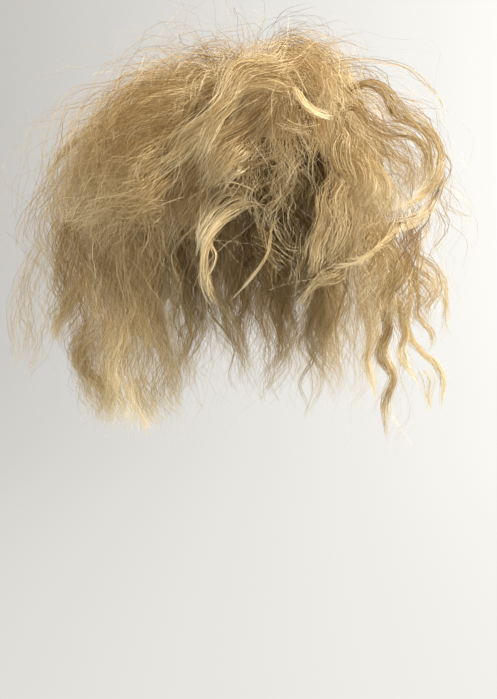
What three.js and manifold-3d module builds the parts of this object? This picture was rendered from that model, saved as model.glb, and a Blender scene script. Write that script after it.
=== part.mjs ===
// Hair topper: wavy blond hair knotted on a small domed base, with four snap clips inside.
// Millimetres, +Z up, front along -Y. The origin is where the base meets the crown of the head.
import * as THREE from 'three';
import { mergeVertices } from 'three/addons/utils/BufferGeometryUtils.js';
import Module from 'manifold-3d';

const wasm = await Module();
wasm.setup();

// The head that the topper is made for: its widest level, and the rise from there to the crown
const HEAD_WIDTH = 155;
const HEAD_DEPTH = 190;
const CROWN_RISE = 100;

// The net base, and the gap that keeps its pieces apart
const BASE_DROP = 36;
const BASE_WALL = 1.2;
const SEAM_GAP = 0.3;

// The knotted roots that carry the locks, and the parting between two sections of hair
const ROOTS_THICKNESS = 4;
const PARTING_GAP = 0.5;

// The hair's height over the crown, its reach from the head's axis and its fall below the crown
const HAIR_LIFT = 62;
const REACH_RIGHT = 154;
const REACH_BACK = 150;
const REACH_LEFT = 186;
const REACH_FRONT = 130;
const FALL_RIGHT = 300;
const FALL_BACK = 262;
const FALL_LEFT = 258;
const FALL_FRONT = 176;

// One full lock of hair
const LOCK_WIDTH = 46;
const LOCK_THICKNESS = 24;
const WAVE_SIZE = 9;

// One snap clip, flat against the inside of the base
const CLIP_LENGTH = 34;
const CLIP_WIDTH = 12;
const CLIP_THICKNESS = 1;
const CLIP_SLOT = 5;
const CLIP_GAP = 0.5;
const CLIP_PLACE = 0.72;

// Facets
const BASE_SIDES = 30;
const BASE_RINGS = 5;
const BROW_RINGS = 3;
const LOCK_SIDES = 5;
const LOCK_RINGS = 10;
const CLIP_ARC_SIDES = 4;

const DEGREES = Math.PI / 180;
const BASE_TILT = Math.acos(1 - BASE_DROP / CROWN_RISE);
const ROOTS_HEIGHT = BASE_WALL + SEAM_GAP;
const LOWEST = 1.1 * Math.max(FALL_RIGHT, FALL_BACK, FALL_LEFT, FALL_FRONT);
const FARTHEST = 2 * Math.max(REACH_RIGHT, REACH_BACK, REACH_LEFT, REACH_FRONT);
const HALF_HEAD = new THREE.Vector3(HEAD_WIDTH / 2, HEAD_DEPTH / 2, CROWN_RISE);

// The course of every lock. out is the share of the way from its root to its full reach, up the share
// of the rise from its root to its crest, and down the share of the fall from its crest to its tip.
// tucked tells how far the reach has gone over to the reach of the tip.
const COURSE = [
  { out: 0.0, up: 0.0, down: 0.0, tucked: 0.0 },
  { out: 0.15, up: 0.92, down: 0.0, tucked: 0.0 },
  { out: 0.42, up: 1.0, down: 0.02, tucked: 0.0 },
  { out: 0.72, up: 1.0, down: 0.12, tucked: 0.0 },
  { out: 0.93, up: 1.0, down: 0.27, tucked: 0.0 },
  { out: 1.0, up: 1.0, down: 0.47, tucked: 0.0 },
  { out: 1.0, up: 1.0, down: 0.74, tucked: 0.45 },
  { out: 1.0, up: 1.0, down: 1.0, tucked: 1.0 },
];

// The sections of the hair, each between two partings, as turns about the head in degrees from the
// right side towards the back. A layer is a fan of locks between two turns. root is the share of the
// base from its crown to its rim, lift, reach and fall are shares of the hair's, tuck is the share of
// the reach at the tip, width and wave are shares of a full lock's, waves counts the waves from root
// to tip, and swing is how far the tip turns about the head from the root, in degrees.
const SECTIONS = [
  {
    name: 'right_hair', from: -42, to: 44,
    layers: [
      { from: -38, to: 38, locks: 2, root: 0.15, lift: 0.88, reach: 0.52, tuck: 0.56,
        fall: 0.3, width: 0.95, wave: 0.5, waves: 1.2, swing: 8 },
      { from: -41, to: 43, locks: 4, root: 0.45, lift: 0.52, reach: 1.0, tuck: 0.9,
        fall: 0.84, width: 1.0, wave: 1.0, waves: 2.1, swing: 3 },
      { from: -36, to: 42, locks: 3, root: 0.92, lift: 0.05, reach: 0.78, tuck: 0.82,
        fall: 1.0, width: 0.95, wave: 1.0, waves: 2.3, swing: 0 },
    ],
  },
  {
    name: 'back_right_hair', from: 44, to: 92,
    layers: [
      { from: 46, to: 90, locks: 1, root: 0.15, lift: 0.86, reach: 0.56, tuck: 0.6,
        fall: 0.35, width: 1.1, wave: 0.4, waves: 1.2, swing: 6 },
      { from: 45, to: 91, locks: 3, root: 0.45, lift: 0.52, reach: 1.0, tuck: 0.88,
        fall: 0.9, width: 0.95, wave: 0.8, waves: 2.0, swing: 2 },
      { from: 44, to: 92, locks: 2, root: 0.92, lift: 0.0, reach: 0.78, tuck: 0.76,
        fall: 1.0, width: 1.0, wave: 0.8, waves: 2.2, swing: 0 },
    ],
  },
  {
    name: 'back_left_hair', from: 92, to: 138,
    layers: [
      { from: 94, to: 136, locks: 1, root: 0.15, lift: 0.86, reach: 0.56, tuck: 0.6,
        fall: 0.35, width: 1.1, wave: 0.4, waves: 1.2, swing: 4 },
      { from: 93, to: 137, locks: 3, root: 0.45, lift: 0.5, reach: 1.0, tuck: 0.86,
        fall: 0.9, width: 0.95, wave: 0.8, waves: 2.0, swing: 1 },
      { from: 92, to: 138, locks: 2, root: 0.92, lift: 0.0, reach: 0.78, tuck: 0.74,
        fall: 1.0, width: 1.0, wave: 0.8, waves: 2.2, swing: 0 },
    ],
  },
  {
    name: 'left_hair', from: 138, to: 224,
    layers: [
      { from: 144, to: 218, locks: 2, root: 0.15, lift: 0.88, reach: 0.5, tuck: 0.54,
        fall: 0.3, width: 1.05, wave: 0.5, waves: 1.2, swing: -4 },
      { from: 139, to: 223, locks: 5, root: 0.45, lift: 0.5, reach: 1.0, tuck: 0.8,
        fall: 0.94, width: 1.05, wave: 0.9, waves: 2.0, swing: -1 },
      { from: 142, to: 222, locks: 2, root: 0.92, lift: 0.05, reach: 0.72, tuck: 0.64,
        fall: 1.0, width: 1.3, wave: 0.9, waves: 2.2, swing: 0 },
    ],
  },
  {
    name: 'fringe_hair', from: 224, to: 318,
    layers: [
      { from: 236, to: 290, locks: 2, root: 0.2, lift: 0.52, reach: 0.8, tuck: 0.86,
        fall: 0.16, width: 1.05, wave: 0.6, waves: 1.2, swing: -14 },
      { from: 230, to: 288, locks: 4, root: 0.6, lift: 0.38, reach: 0.98, tuck: 0.98,
        fall: 0.5, width: 0.85, wave: 1.0, waves: 1.5, swing: -7 },
      { from: 292, to: 318, locks: 2, root: 0.5, lift: 0.42, reach: 0.98, tuck: 0.96,
        fall: 0.6, width: 0.85, wave: 1.0, waves: 1.5, swing: 6 },
      { from: 246, to: 314, locks: 3, root: 0.94, lift: -0.15, reach: 0.96, tuck: 0.96,
        fall: 0.98, width: 0.36, wave: 1.1, waves: 1.6, swing: -8 },
    ],
  },
];

// Small differences that follow each other from lock to lock, so that no two neighbours hang alike
const VARIETY = [
  { long: 1.0, wide: 1.0, swing: 3, phase: 0.0, high: 1.0 },
  { long: 0.86, wide: 0.84, swing: -4, phase: 0.4, high: 0.93 },
  { long: 0.96, wide: 1.1, swing: 5, phase: 0.75, high: 1.0 },
  { long: 0.8, wide: 0.9, swing: -2, phase: 0.2, high: 0.9 },
  { long: 0.92, wide: 1.05, swing: 1, phase: 0.6, high: 0.96 },
];

// The clips, by the turn at which each lies on the base
const CLIPS = [
  { name: 'clip_right', turn: 0 },
  { name: 'clip_back', turn: 90 },
  { name: 'clip_left', turn: 180 },
  { name: 'clip_front', turn: 270 },
];

/** A size that changes round the head, from its values at the right, back, left and front. */
function around(turn, right, back, left, front) {
  const across = Math.cos(turn);
  const along = Math.sin(turn);
  return (across > 0 ? right : left) * across ** 2 + (along > 0 ? back : front) * along ** 2;
}

/** The head's outward direction at a turn about its axis and a tilt from its crown. */
function headNormal(turn, tilt) {
  return new THREE.Vector3(
    Math.sin(tilt) * Math.cos(turn), Math.sin(tilt) * Math.sin(turn), Math.cos(tilt),
  ).divide(HALF_HEAD).normalize();
}

/** The point a height above the head's surface, at a turn about its axis and a tilt from its crown. */
function onHead(turn, tilt, height) {
  return new THREE.Vector3(
    Math.sin(tilt) * Math.cos(turn), Math.sin(tilt) * Math.sin(turn), Math.cos(tilt) - 1,
  ).multiply(HALF_HEAD).addScaledVector(headNormal(turn, tilt), height);
}

/** How far a point near the head's surface lies outside it. */
function heightOver(point) {
  const share = point.clone().setZ(point.z + CROWN_RISE).divide(HALF_HEAD);
  const slope = share.clone().divide(HALF_HEAD).divideScalar(share.length());
  return (share.length() - 1) / slope.length();
}

/** A copy of a geometry with each vertex moved to where map puts it. */
function bent(geometry, map) {
  const made = geometry.clone();
  const places = made.getAttribute('position');
  for (let i = 0; i < places.count; i += 1) {
    const place = map(new THREE.Vector3().fromBufferAttribute(places, i));
    places.setXYZ(i, place.x, place.y, place.z);
  }
  return made;
}

/** A closed geometry as a solid that can be joined and cut. */
function solidOf(geometry) {
  const bare = geometry.clone();
  bare.deleteAttribute('normal');
  bare.deleteAttribute('uv');
  const merged = mergeVertices(bare, 1e-3);
  return new wasm.Manifold(new wasm.Mesh({
    numProp: 3,
    vertProperties: new Float32Array(merged.getAttribute('position').array),
    triVerts: new Uint32Array(merged.index.array),
  }));
}

/** A solid as a geometry. */
function geometryOf(solid) {
  const { vertProperties, triVerts } = solid.getMesh();
  const geometry = new THREE.BufferGeometry();
  geometry.setAttribute('position', new THREE.BufferAttribute(new Float32Array(vertProperties), 3));
  geometry.setIndex(new THREE.BufferAttribute(new Uint32Array(triVerts), 1));
  geometry.computeVertexNormals();
  return geometry;
}

/** The largest body of a solid, without the small ends that a cut leaves loose. */
function largestOf(solid) {
  return solid.decompose().reduce((best, body) => (body.volume() > best.volume() ? body : best));
}

/** A shell in the shape of the base, between two heights over the head. */
function domeShell(low, high) {
  const shares = Array.from({ length: BASE_RINGS + 1 }, (_, i) => i / BASE_RINGS);
  const profile = [
    ...shares.map((share) => new THREE.Vector2(share, low)),
    ...shares.toReversed().map((share) => new THREE.Vector2(share, high)),
  ];
  return bent(new THREE.LatheGeometry(profile, BASE_SIDES), (p) => onHead(
    Math.atan2(-p.z, p.x), Math.hypot(p.x, p.z) * BASE_TILT, p.y));
}

/** The room of the head below the roots: its dome in the base's own facets, then straight down. */
function headRoom() {
  const tilts = [];
  for (let i = 0; i < BASE_RINGS; i += 1) tilts.push(BASE_TILT * (i / BASE_RINGS));
  for (let i = 0; i <= BROW_RINGS; i += 1) {
    tilts.push(THREE.MathUtils.lerp(BASE_TILT, Math.PI / 2, i / BROW_RINGS));
  }
  const profile = [
    new THREE.Vector2(0, -LOWEST),
    new THREE.Vector2(Math.PI / 2, -LOWEST),
    ...tilts.toReversed().map((tilt) => new THREE.Vector2(tilt, 0)),
  ];
  return solidOf(bent(new THREE.LatheGeometry(profile, BASE_SIDES), (p) => {
    const place = onHead(Math.atan2(-p.z, p.x), Math.hypot(p.x, p.z), ROOTS_HEIGHT);
    return place.setZ(p.y < 0 ? p.y : place.z);
  }));
}

/** The room between two partings, as an upright wedge about the head's axis. */
function wedgeRoom(from, to) {
  const half = (to - from) / 2 * DEGREES;
  const middle = (from + to) / 2 * DEGREES;
  const corner = (turn, far) => new THREE.Vector2(far * Math.cos(turn), far * Math.sin(turn));
  const outline = new THREE.Shape([
    new THREE.Vector2(0, 0),
    corner(middle - half, FARTHEST),
    corner(middle, FARTHEST / Math.cos(half)),
    corner(middle + half, FARTHEST),
  ]);
  const wedge = new THREE.ExtrudeGeometry(outline, { depth: 2 * LOWEST, bevelEnabled: false });
  const apex = corner(middle, PARTING_GAP / 2 / Math.sin(half));
  return solidOf(wedge.translate(apex.x, apex.y, -LOWEST));
}

/** Where a lock runs, without its waves, and its direction round the head at a share of its length. */
function lockRoute(lock) {
  const turn = lock.turn * DEGREES;
  const swing = lock.swing * DEGREES;
  const root = onHead(turn, lock.root * BASE_TILT, ROOTS_HEIGHT + ROOTS_THICKNESS / 2);
  const crest = HAIR_LIFT * lock.lift - LOCK_THICKNESS / 2;
  const drop = crest + lock.fall * around(turn, FALL_RIGHT, FALL_BACK, FALL_LEFT, FALL_FRONT);
  const reach = around(turn, REACH_RIGHT, REACH_BACK, REACH_LEFT, REACH_FRONT) - LOCK_THICKNESS / 2;
  const points = COURSE.map(({ out, up, down, tucked }, i) => {
    const sway = turn + swing * (i / (COURSE.length - 1));
    const far = reach * THREE.MathUtils.lerp(lock.reach, lock.tuck, tucked);
    return new THREE.Vector3(
      THREE.MathUtils.lerp(root.x, far * Math.cos(sway), out),
      THREE.MathUtils.lerp(root.y, far * Math.sin(sway), out),
      THREE.MathUtils.lerp(root.z, crest, up) - drop * down,
    );
  });
  const curve = new THREE.CatmullRomCurve3(points, false, 'catmullrom', 0.5);
  const round = (share) => new THREE.Vector3(
    -Math.sin(turn + swing * share), Math.cos(turn + swing * share), 0);
  return { curve, round };
}

/** How full a lock is: gathered at its root, full in the middle and thin at its tip. */
function fullness(share) {
  const gathered = Math.min(1, 0.6 + share * 1.6);
  const thinned = 1 - 0.86 * Math.max(0, (share - 0.62) / 0.38) ** 1.6;
  return gathered * thinned;
}

/** One lock of hair: a drum bent along the lock's route, with its flat side to the head. */
function lockSolid(lock) {
  const { curve, round } = lockRoute(lock);
  const drum = new THREE.CylinderGeometry(1, 1, 1, LOCK_SIDES, LOCK_RINGS);
  return solidOf(bent(drum, (p) => {
    const share = THREE.MathUtils.clamp(0.5 - p.y, 0, 1);
    const along = curve.getTangent(share);
    const outward = along.clone().cross(round(share)).normalize();
    const side = outward.clone().cross(along);
    const wave = WAVE_SIZE * lock.wave * Math.min(1, 2 * share);
    const angle = 2 * Math.PI * (lock.waves * share + lock.phase);
    const full = fullness(share) * lock.width / 2;
    return curve.getPoint(share)
      .addScaledVector(side, p.x * full * LOCK_WIDTH + wave * Math.sin(angle))
      .addScaledVector(outward, p.z * full * LOCK_THICKNESS + 0.6 * wave * Math.cos(angle));
  }));
}

/** The locks of one layer, each with the next of the small differences. */
function layerLocks(layer, start) {
  return Array.from({ length: layer.locks }, (_, i) => {
    const odd = VARIETY[(start + i) % VARIETY.length];
    return {
      ...layer,
      turn: THREE.MathUtils.lerp(layer.from, layer.to, (i + 0.5) / layer.locks),
      swing: layer.swing + odd.swing,
      lift: layer.lift * odd.high,
      fall: layer.fall * odd.long,
      width: layer.width * odd.wide,
      phase: odd.phase,
    };
  });
}

/** One section of hair: its locks joined to its part of the knotted roots. */
function sectionSolid(section, room) {
  const roots = solidOf(domeShell(0, ROOTS_HEIGHT + ROOTS_THICKNESS));
  const locks = section.layers.flatMap((layer, i) => layerLocks(layer, 2 * i)).map(lockSolid);
  const hair = wasm.Manifold.union([roots, ...locks]);
  return largestOf(hair.intersect(wedgeRoom(section.from, section.to)).subtract(room));
}

/** The outline of a clip: a long oval with a slot along its middle. */
function clipOutline() {
  const straight = (CLIP_LENGTH - CLIP_WIDTH) / 2;
  const oval = (path, radius) => {
    path.absarc(straight, 0, radius, -Math.PI / 2, Math.PI / 2);
    path.absarc(-straight, 0, radius, Math.PI / 2, 3 * Math.PI / 2);
    return path;
  };
  const outline = oval(new THREE.Shape(), CLIP_WIDTH / 2);
  outline.holes.push(oval(new THREE.Path(), CLIP_SLOT / 2));
  return outline;
}

/** One snap clip, flat against the inside of the base, its length along the base's rim. */
function clipPlate(turn) {
  const tilt = CLIP_PLACE * BASE_TILT;
  const normal = headNormal(turn, tilt);
  const along = new THREE.Vector3(-Math.sin(turn), Math.cos(turn), 0);
  const across = normal.clone().cross(along);
  const centre = onHead(turn, tilt, 0);
  const end = centre.clone()
    .addScaledVector(along, CLIP_LENGTH / 2)
    .addScaledVector(across, CLIP_WIDTH / 2);
  const depth = heightOver(end) + CLIP_GAP + CLIP_THICKNESS;
  const plate = new THREE.ExtrudeGeometry(
    clipOutline(), { depth: CLIP_THICKNESS, bevelEnabled: false, curveSegments: CLIP_ARC_SIDES });
  return plate.applyMatrix4(new THREE.Matrix4()
    .makeBasis(along, across, normal)
    .setPosition(centre.addScaledVector(normal, -depth)));
}

/** A named piece of the topper, in its own copy of a finish. */
function piece(name, geometry, finish) {
  const mesh = new THREE.Mesh(geometry, new THREE.MeshStandardMaterial(finish));
  mesh.name = name;
  return mesh;
}

const NET = { color: 0x6b5238, roughness: 0.9, metalness: 0 };
const ENAMEL = { color: 0x3b2c22, roughness: 0.4, metalness: 0.6 };
const HAIR = { color: 0xcbaa78, roughness: 0.55, metalness: 0 };

const room = headRoom();
const topper = new THREE.Group();
topper.add(
  piece('base_cap', domeShell(0, BASE_WALL), NET),
  ...CLIPS.map(({ name, turn }) => piece(name, clipPlate(turn * DEGREES), ENAMEL)),
  ...SECTIONS.map((section) => piece(section.name, geometryOf(sectionSolid(section, room)), HAIR)),
);

export default topper;
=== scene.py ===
"""The looks of a blond hair topper: its hair strand by strand, its net base and its clips."""

import logging
import math
from collections.abc import Callable
from dataclasses import dataclass, field, fields, replace
from enum import Enum

import bpy
import numpy as np
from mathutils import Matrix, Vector
from mathutils.bvhtree import BVHTree


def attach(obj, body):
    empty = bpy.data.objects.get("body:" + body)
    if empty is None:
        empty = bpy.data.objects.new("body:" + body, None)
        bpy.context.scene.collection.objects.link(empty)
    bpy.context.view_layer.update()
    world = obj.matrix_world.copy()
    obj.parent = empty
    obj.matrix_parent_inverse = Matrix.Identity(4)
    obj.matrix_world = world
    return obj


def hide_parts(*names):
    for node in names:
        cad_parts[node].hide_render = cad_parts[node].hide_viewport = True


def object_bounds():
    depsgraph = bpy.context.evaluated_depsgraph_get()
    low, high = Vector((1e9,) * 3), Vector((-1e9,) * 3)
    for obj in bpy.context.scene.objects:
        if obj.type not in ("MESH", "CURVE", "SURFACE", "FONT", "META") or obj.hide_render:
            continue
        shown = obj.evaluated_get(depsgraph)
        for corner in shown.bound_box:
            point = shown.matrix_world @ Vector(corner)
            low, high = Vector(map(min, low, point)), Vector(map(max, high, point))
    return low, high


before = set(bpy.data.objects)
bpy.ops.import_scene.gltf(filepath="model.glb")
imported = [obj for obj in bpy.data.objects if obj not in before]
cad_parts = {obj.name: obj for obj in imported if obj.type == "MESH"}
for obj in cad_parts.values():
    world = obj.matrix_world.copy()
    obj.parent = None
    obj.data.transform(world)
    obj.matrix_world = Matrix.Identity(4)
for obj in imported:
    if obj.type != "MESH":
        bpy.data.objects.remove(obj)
CAD_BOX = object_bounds()

LOG = logging.getLogger("hair_topper")
TURN = 2.0 * math.pi


def smooth(low: float, high: float, values: np.ndarray) -> np.ndarray:
    """Zero below low, one above high, and a soft rise between them."""
    share = np.clip((values - low) / (high - low), 0.0, 1.0)
    return share * share * (3.0 - 2.0 * share)


def unit(vectors: np.ndarray) -> np.ndarray:
    """Vectors of the same directions, each of length one."""
    return vectors / np.maximum(np.linalg.norm(vectors, axis=-1, keepdims=True), 1e-9)


def mix(first: np.ndarray, second: np.ndarray, share: np.ndarray) -> np.ndarray:
    """The value that lies a share of the way from first to second."""
    return first + (second - first) * share


def through(knots: np.ndarray, shares: np.ndarray) -> np.ndarray:
    """Finds places on smooth curves through rows of knots.

    Args:
        knots: The knots of each curve, as an array of curves, knots and coordinates.
        shares: The shares of each curve's length at which places are wanted.

    Returns:
        The places, as an array of curves, shares and coordinates.
    """
    before = 2.0 * knots[:, :1] - knots[:, 1:2]
    after = 2.0 * knots[:, -1:] - knots[:, -2:-1]
    padded = np.concatenate([before, knots, after], axis=1)
    spans = knots.shape[1] - 1
    whole = np.clip(np.floor(shares * spans), 0, spans - 1).astype(int)
    part = (shares * spans - whole)[..., None]
    rows = np.arange(len(knots))[:, None]
    a, b, c, d = (padded[rows, whole + step] for step in range(4))
    bend = 2.0 * a - 5.0 * b + 4.0 * c - d
    return b + 0.5 * part * (c - a + part * (bend + part * (3.0 * (b - c) + d - a)))


def spaced(rings: int, closer: float, start: np.ndarray, stop: np.ndarray) -> np.ndarray:
    """Spaces the rings of each strand, closer together towards its tip.

    Args:
        rings: How many rings each strand has.
        closer: How much closer they stand at the tip, from 0 for evenly spaced.
        start: The share of the lock at which each strand starts.
        stop: The share of the lock at which it ends.

    Returns:
        The shares of the lock, one row for each strand.
    """
    even = np.linspace(0.0, 1.0, rings)[None]
    eased = even + closer * even * (1.0 - even)
    return mix(start[:, None], stop[:, None], eased)


def length_along(lines: np.ndarray) -> np.ndarray:
    """Finds how far along its line each place lies.

    Args:
        lines: Places along each line, as an array of lines, places and coordinates.

    Returns:
        The length of the line up to each place, in metres.
    """
    steps = np.linalg.norm(np.diff(lines, axis=1), axis=-1)
    return np.concatenate([np.zeros((len(steps), 1)), np.cumsum(steps, axis=1)], axis=1)


def tapered(shares: np.ndarray) -> np.ndarray:
    """How wide a strand is at shares of its length: thinner at its root, and thinnest at its tip."""
    return (1.0 - 0.75 * smooth(0.75, 1.0, shares)) * (1.0 - 0.5 * smooth(0.12, 0.0, shares))


def chance_facing(outward: np.ndarray, turned: float, rng: np.random.Generator) -> np.ndarray:
    """Turns the flat side of each strand a little by chance.

    Args:
        outward: The direction out from the hair at each place of each strand.
        turned: How far the flat sides turn.
        rng: The section's source of chance.

    Returns:
        The direction that the flat side faces at each place.
    """
    return outward + turned * rng.normal(size=(len(outward), 1, 3)) * np.ones_like(outward)


@dataclass(frozen=True)
class Head:
    """The form of the head that the topper is made for. The top of the crown is the origin."""

    half_width: float = 0.0775
    half_depth: float = 0.095
    crown_rise: float = 0.100
    base_drop: float = 0.036
    roots_height: float = 0.0015
    roots_thickness: float = 0.004
    nearest: float = 0.2

    @property
    def half(self) -> np.ndarray:
        """Half the head's width and depth, and the rise of its crown."""
        return np.array([self.half_width, self.half_depth, self.crown_rise])

    @property
    def base_tilt(self) -> float:
        """The tilt from the crown at which the base ends."""
        return math.acos(1.0 - self.base_drop / self.crown_rise)

    def point(self, turn: np.ndarray, tilt: np.ndarray, height: float) -> np.ndarray:
        """Finds points over the head.

        Args:
            turn: Turns about the head, from its right side towards its back.
            tilt: Tilts from its crown.
            height: The height over its surface.

        Returns:
            The points, with their coordinates in the last axis.
        """
        flat = np.sin(tilt)
        way = np.stack([flat * np.cos(turn), flat * np.sin(turn), np.cos(tilt)], axis=-1)
        return (way - [0.0, 0.0, 1.0]) * self.half + unit(way / self.half) * height

    def cleared(self, places: np.ndarray, gap: float) -> np.ndarray:
        """Moves places that lie in the head's room out to its surface.

        Args:
            places: Places in metres.
            gap: The least height over the surface.

        Returns:
            The places, with those in the room moved straight out.
        """
        above = places[..., 2] > -self.crown_rise
        reach = places + [0.0, 0.0, self.crown_rise]
        reach = np.where(above[..., None], reach, reach * [1.0, 1.0, 0.0])
        size = np.linalg.norm(reach / (self.half + gap), axis=-1, keepdims=True)
        pushed = reach / np.minimum(np.maximum(size, self.nearest), 1.0)
        return places + pushed - reach


@dataclass
class Locks:
    """The measures of many locks, with a row for each: turns in radians, and shares of the cut's sizes."""

    turn: np.ndarray
    swing: np.ndarray
    root: np.ndarray
    lift: np.ndarray
    reach: np.ndarray
    tuck: np.ndarray
    fall: np.ndarray
    width: np.ndarray
    wave: np.ndarray
    waves: np.ndarray
    phase: np.ndarray

    @classmethod
    def made_by(cls, column: Callable[[str], np.ndarray]) -> "Locks":
        """Locks whose every measure is what column gives for the measure's name."""
        return cls(*(column(part.name) for part in fields(cls)))

    def pick(self, rows: np.ndarray) -> "Locks":
        """The locks of the given rows."""
        return Locks.made_by(lambda name: getattr(self, name)[rows])

    def mixed(self, other: "Locks", share: np.ndarray) -> "Locks":
        """Locks that lie a share of the way from these to others, row by row."""
        return Locks.made_by(lambda name: mix(getattr(self, name), getattr(other, name), share))


@dataclass(frozen=True)
class Variety:
    """A small difference between neighbouring locks."""

    long: float
    wide: float
    swing: float
    phase: float
    high: float


VARIETY = (
    Variety(long=1.0, wide=1.0, swing=3.0, phase=0.0, high=1.0),
    Variety(long=0.86, wide=0.84, swing=-4.0, phase=0.4, high=0.93),
    Variety(long=0.96, wide=1.1, swing=5.0, phase=0.75, high=1.0),
    Variety(long=0.8, wide=0.9, swing=-2.0, phase=0.2, high=0.9),
    Variety(long=0.92, wide=1.05, swing=1.0, phase=0.6, high=0.96),
)


@dataclass(frozen=True)
class Layer:
    """A fan of locks between two turns in degrees, with the sizes of its locks as shares of the cut's."""

    start: float
    stop: float
    locks: int
    root: float
    lift: float
    reach: float
    tuck: float
    fall: float
    width: float
    wave: float
    waves: float
    swing: float

    def spread(self, turns: np.ndarray, odd: list[Variety]) -> Locks:
        """Makes locks of this layer at given turns.

        Args:
            turns: The turns in degrees.
            odd: The small difference of each lock.

        Returns:
            The measures of the locks.
        """
        def each(name: str) -> np.ndarray:
            """One value of the small differences, for every lock."""
            return np.array([getattr(one, name) for one in odd])

        count = len(turns)
        return Locks(
            turn=np.radians(turns), swing=np.radians(self.swing + each("swing")),
            root=np.full(count, self.root), lift=self.lift * each("high"),
            reach=np.full(count, self.reach), tuck=np.full(count, self.tuck),
            fall=self.fall * each("long"), width=self.width * each("wide"),
            wave=np.full(count, self.wave), waves=np.full(count, self.waves), phase=each("phase"))

    def fan(self, number: int) -> Locks:
        """The locks of this layer as the CAD has them, for the layer of that number in its section."""
        turns = mix(self.start, self.stop, (np.arange(self.locks) + 0.5) / self.locks)
        return self.spread(turns, [VARIETY[(2 * number + i) % len(VARIETY)] for i in range(self.locks)])


@dataclass
class Run:
    """Where locks run: middle lines, directions beside and out from them, length so far, and how full they are."""

    middle: np.ndarray
    side: np.ndarray
    outward: np.ndarray
    length: np.ndarray
    full: np.ndarray


@dataclass(frozen=True)
class Cut:
    """The sizes of the whole head of hair in metres, which the locks share.

    reaches and falls are for the right, back, left and front. out, up, down and tucked say how a lock's middle
    line goes from its root to its tip. The last fields are shares: how full a lock is at its root, how soon it
    fills, where it starts to thin, by how much and how suddenly, and how its waves swing out and set in.
    """

    head: Head = field(default_factory=Head)
    lift: float = 0.062
    reaches: tuple[float, ...] = (0.154, 0.150, 0.186, 0.130)
    falls: tuple[float, ...] = (0.300, 0.262, 0.258, 0.176)
    lock_width: float = 0.046
    lock_thickness: float = 0.024
    wave_size: float = 0.009
    out: tuple[float, ...] = (0.0, 0.15, 0.42, 0.72, 0.93, 1.0, 1.0, 1.0)
    up: tuple[float, ...] = (0.0, 0.92, 1.0, 1.0, 1.0, 1.0, 1.0, 1.0)
    down: tuple[float, ...] = (0.0, 0.0, 0.02, 0.12, 0.27, 0.47, 0.74, 1.0)
    tucked: tuple[float, ...] = (0.0, 0.0, 0.0, 0.0, 0.0, 0.0, 0.45, 1.0)
    root_full: float = 0.6
    filling: float = 1.6
    thin_from: float = 0.62
    thinning: float = 0.86
    suddenly: float = 1.6
    wave_out: float = 0.6
    wave_in: float = 2.0

    @staticmethod
    def around(turn: np.ndarray, sizes: tuple[float, ...]) -> np.ndarray:
        """Finds a size that changes round the head.

        Args:
            turn: Turns about the head.
            sizes: The size at the right, back, left and front.

        Returns:
            The size at each turn.
        """
        right, back, left, front = sizes
        across, deep = np.cos(turn), np.sin(turn)
        return np.where(across > 0, right, left) * across**2 + np.where(deep > 0, back, front) * deep**2

    def knots(self, locks: Locks) -> np.ndarray:
        """Finds the eight knots of each lock's middle line.

        Args:
            locks: The locks' measures.

        Returns:
            The knots, as an array of locks, knots and coordinates.
        """
        turn = locks.turn[:, None]
        root = self.head.point(
            locks.turn, locks.root * self.head.base_tilt,
            self.head.roots_height + self.head.roots_thickness / 2)
        crest = (self.lift * locks.lift - self.lock_thickness / 2)[:, None]
        steps = np.arange(len(self.out)) / (len(self.out) - 1)
        sway = turn + locks.swing[:, None] * steps
        drop = crest + locks.fall[:, None] * self.around(sway, self.falls)
        reach = self.around(sway, self.reaches) - self.lock_thickness / 2
        far = reach * mix(locks.reach[:, None], locks.tuck[:, None], np.array(self.tucked))
        out, up = np.array(self.out), np.array(self.up)
        return np.stack([
            mix(root[:, :1], far * np.cos(sway), out),
            mix(root[:, 1:2], far * np.sin(sway), out),
            mix(root[:, 2:], crest, up) - drop * np.array(self.down)], axis=-1)

    def run(self, locks: Locks, shares: np.ndarray) -> Run:
        """Finds where locks run, with their broad waves.

        Args:
            locks: The locks' measures.
            shares: The shares of each lock's length at which places are wanted.

        Returns:
            The middle lines and all that the strands need about them.
        """
        plain = through(self.knots(locks), shares)
        along = unit(np.gradient(plain, axis=1))
        facing = locks.turn[:, None] + locks.swing[:, None] * shares
        round_head = np.stack([-np.sin(facing), np.cos(facing), np.zeros_like(facing)], axis=-1)
        outward = unit(np.cross(along, round_head))
        side = np.cross(outward, along)
        size = self.wave_size * locks.wave[:, None] * np.minimum(1.0, self.wave_in * shares)
        angle = TURN * (locks.waves[:, None] * shares + locks.phase[:, None])
        across = side * (size * np.sin(angle))[..., None]
        middle = plain + (across + outward * (self.wave_out * size * np.cos(angle))[..., None])
        gathered = np.minimum(1.0, self.root_full + shares * self.filling)
        thin = np.clip((shares - self.thin_from) / (1.0 - self.thin_from), 0.0, 1.0)
        full = gathered * (1.0 - self.thinning * thin ** self.suddenly) * locks.width[:, None]
        return Run(middle, side, outward, length_along(middle), full)


class Gather(Enum):
    """How closely strands keep to their clump: how far off they lie at the root and at the tip, as shares."""

    CLOSE = (1.0, 0.42)
    EASY = (0.6, 1.4)
    STRAY = (0.8, 0.8)


@dataclass(frozen=True)
class Habit:
    """How the strands of one kind lie: sizes in metres, and a share of all a section's strands.

    apart is how far a strand lies from its clump's middle, drift how far it wanders off, and crimp the size
    of its own small waves. cross turns its course, in degrees, and raised lifts it, as a share of the lift.
    """

    gather: Gather
    part: float
    rings: int
    apart: float
    drift: float
    crimp: float
    thick: float
    pale: float
    cross: float = 0.0
    raised: float = 0.0


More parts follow.
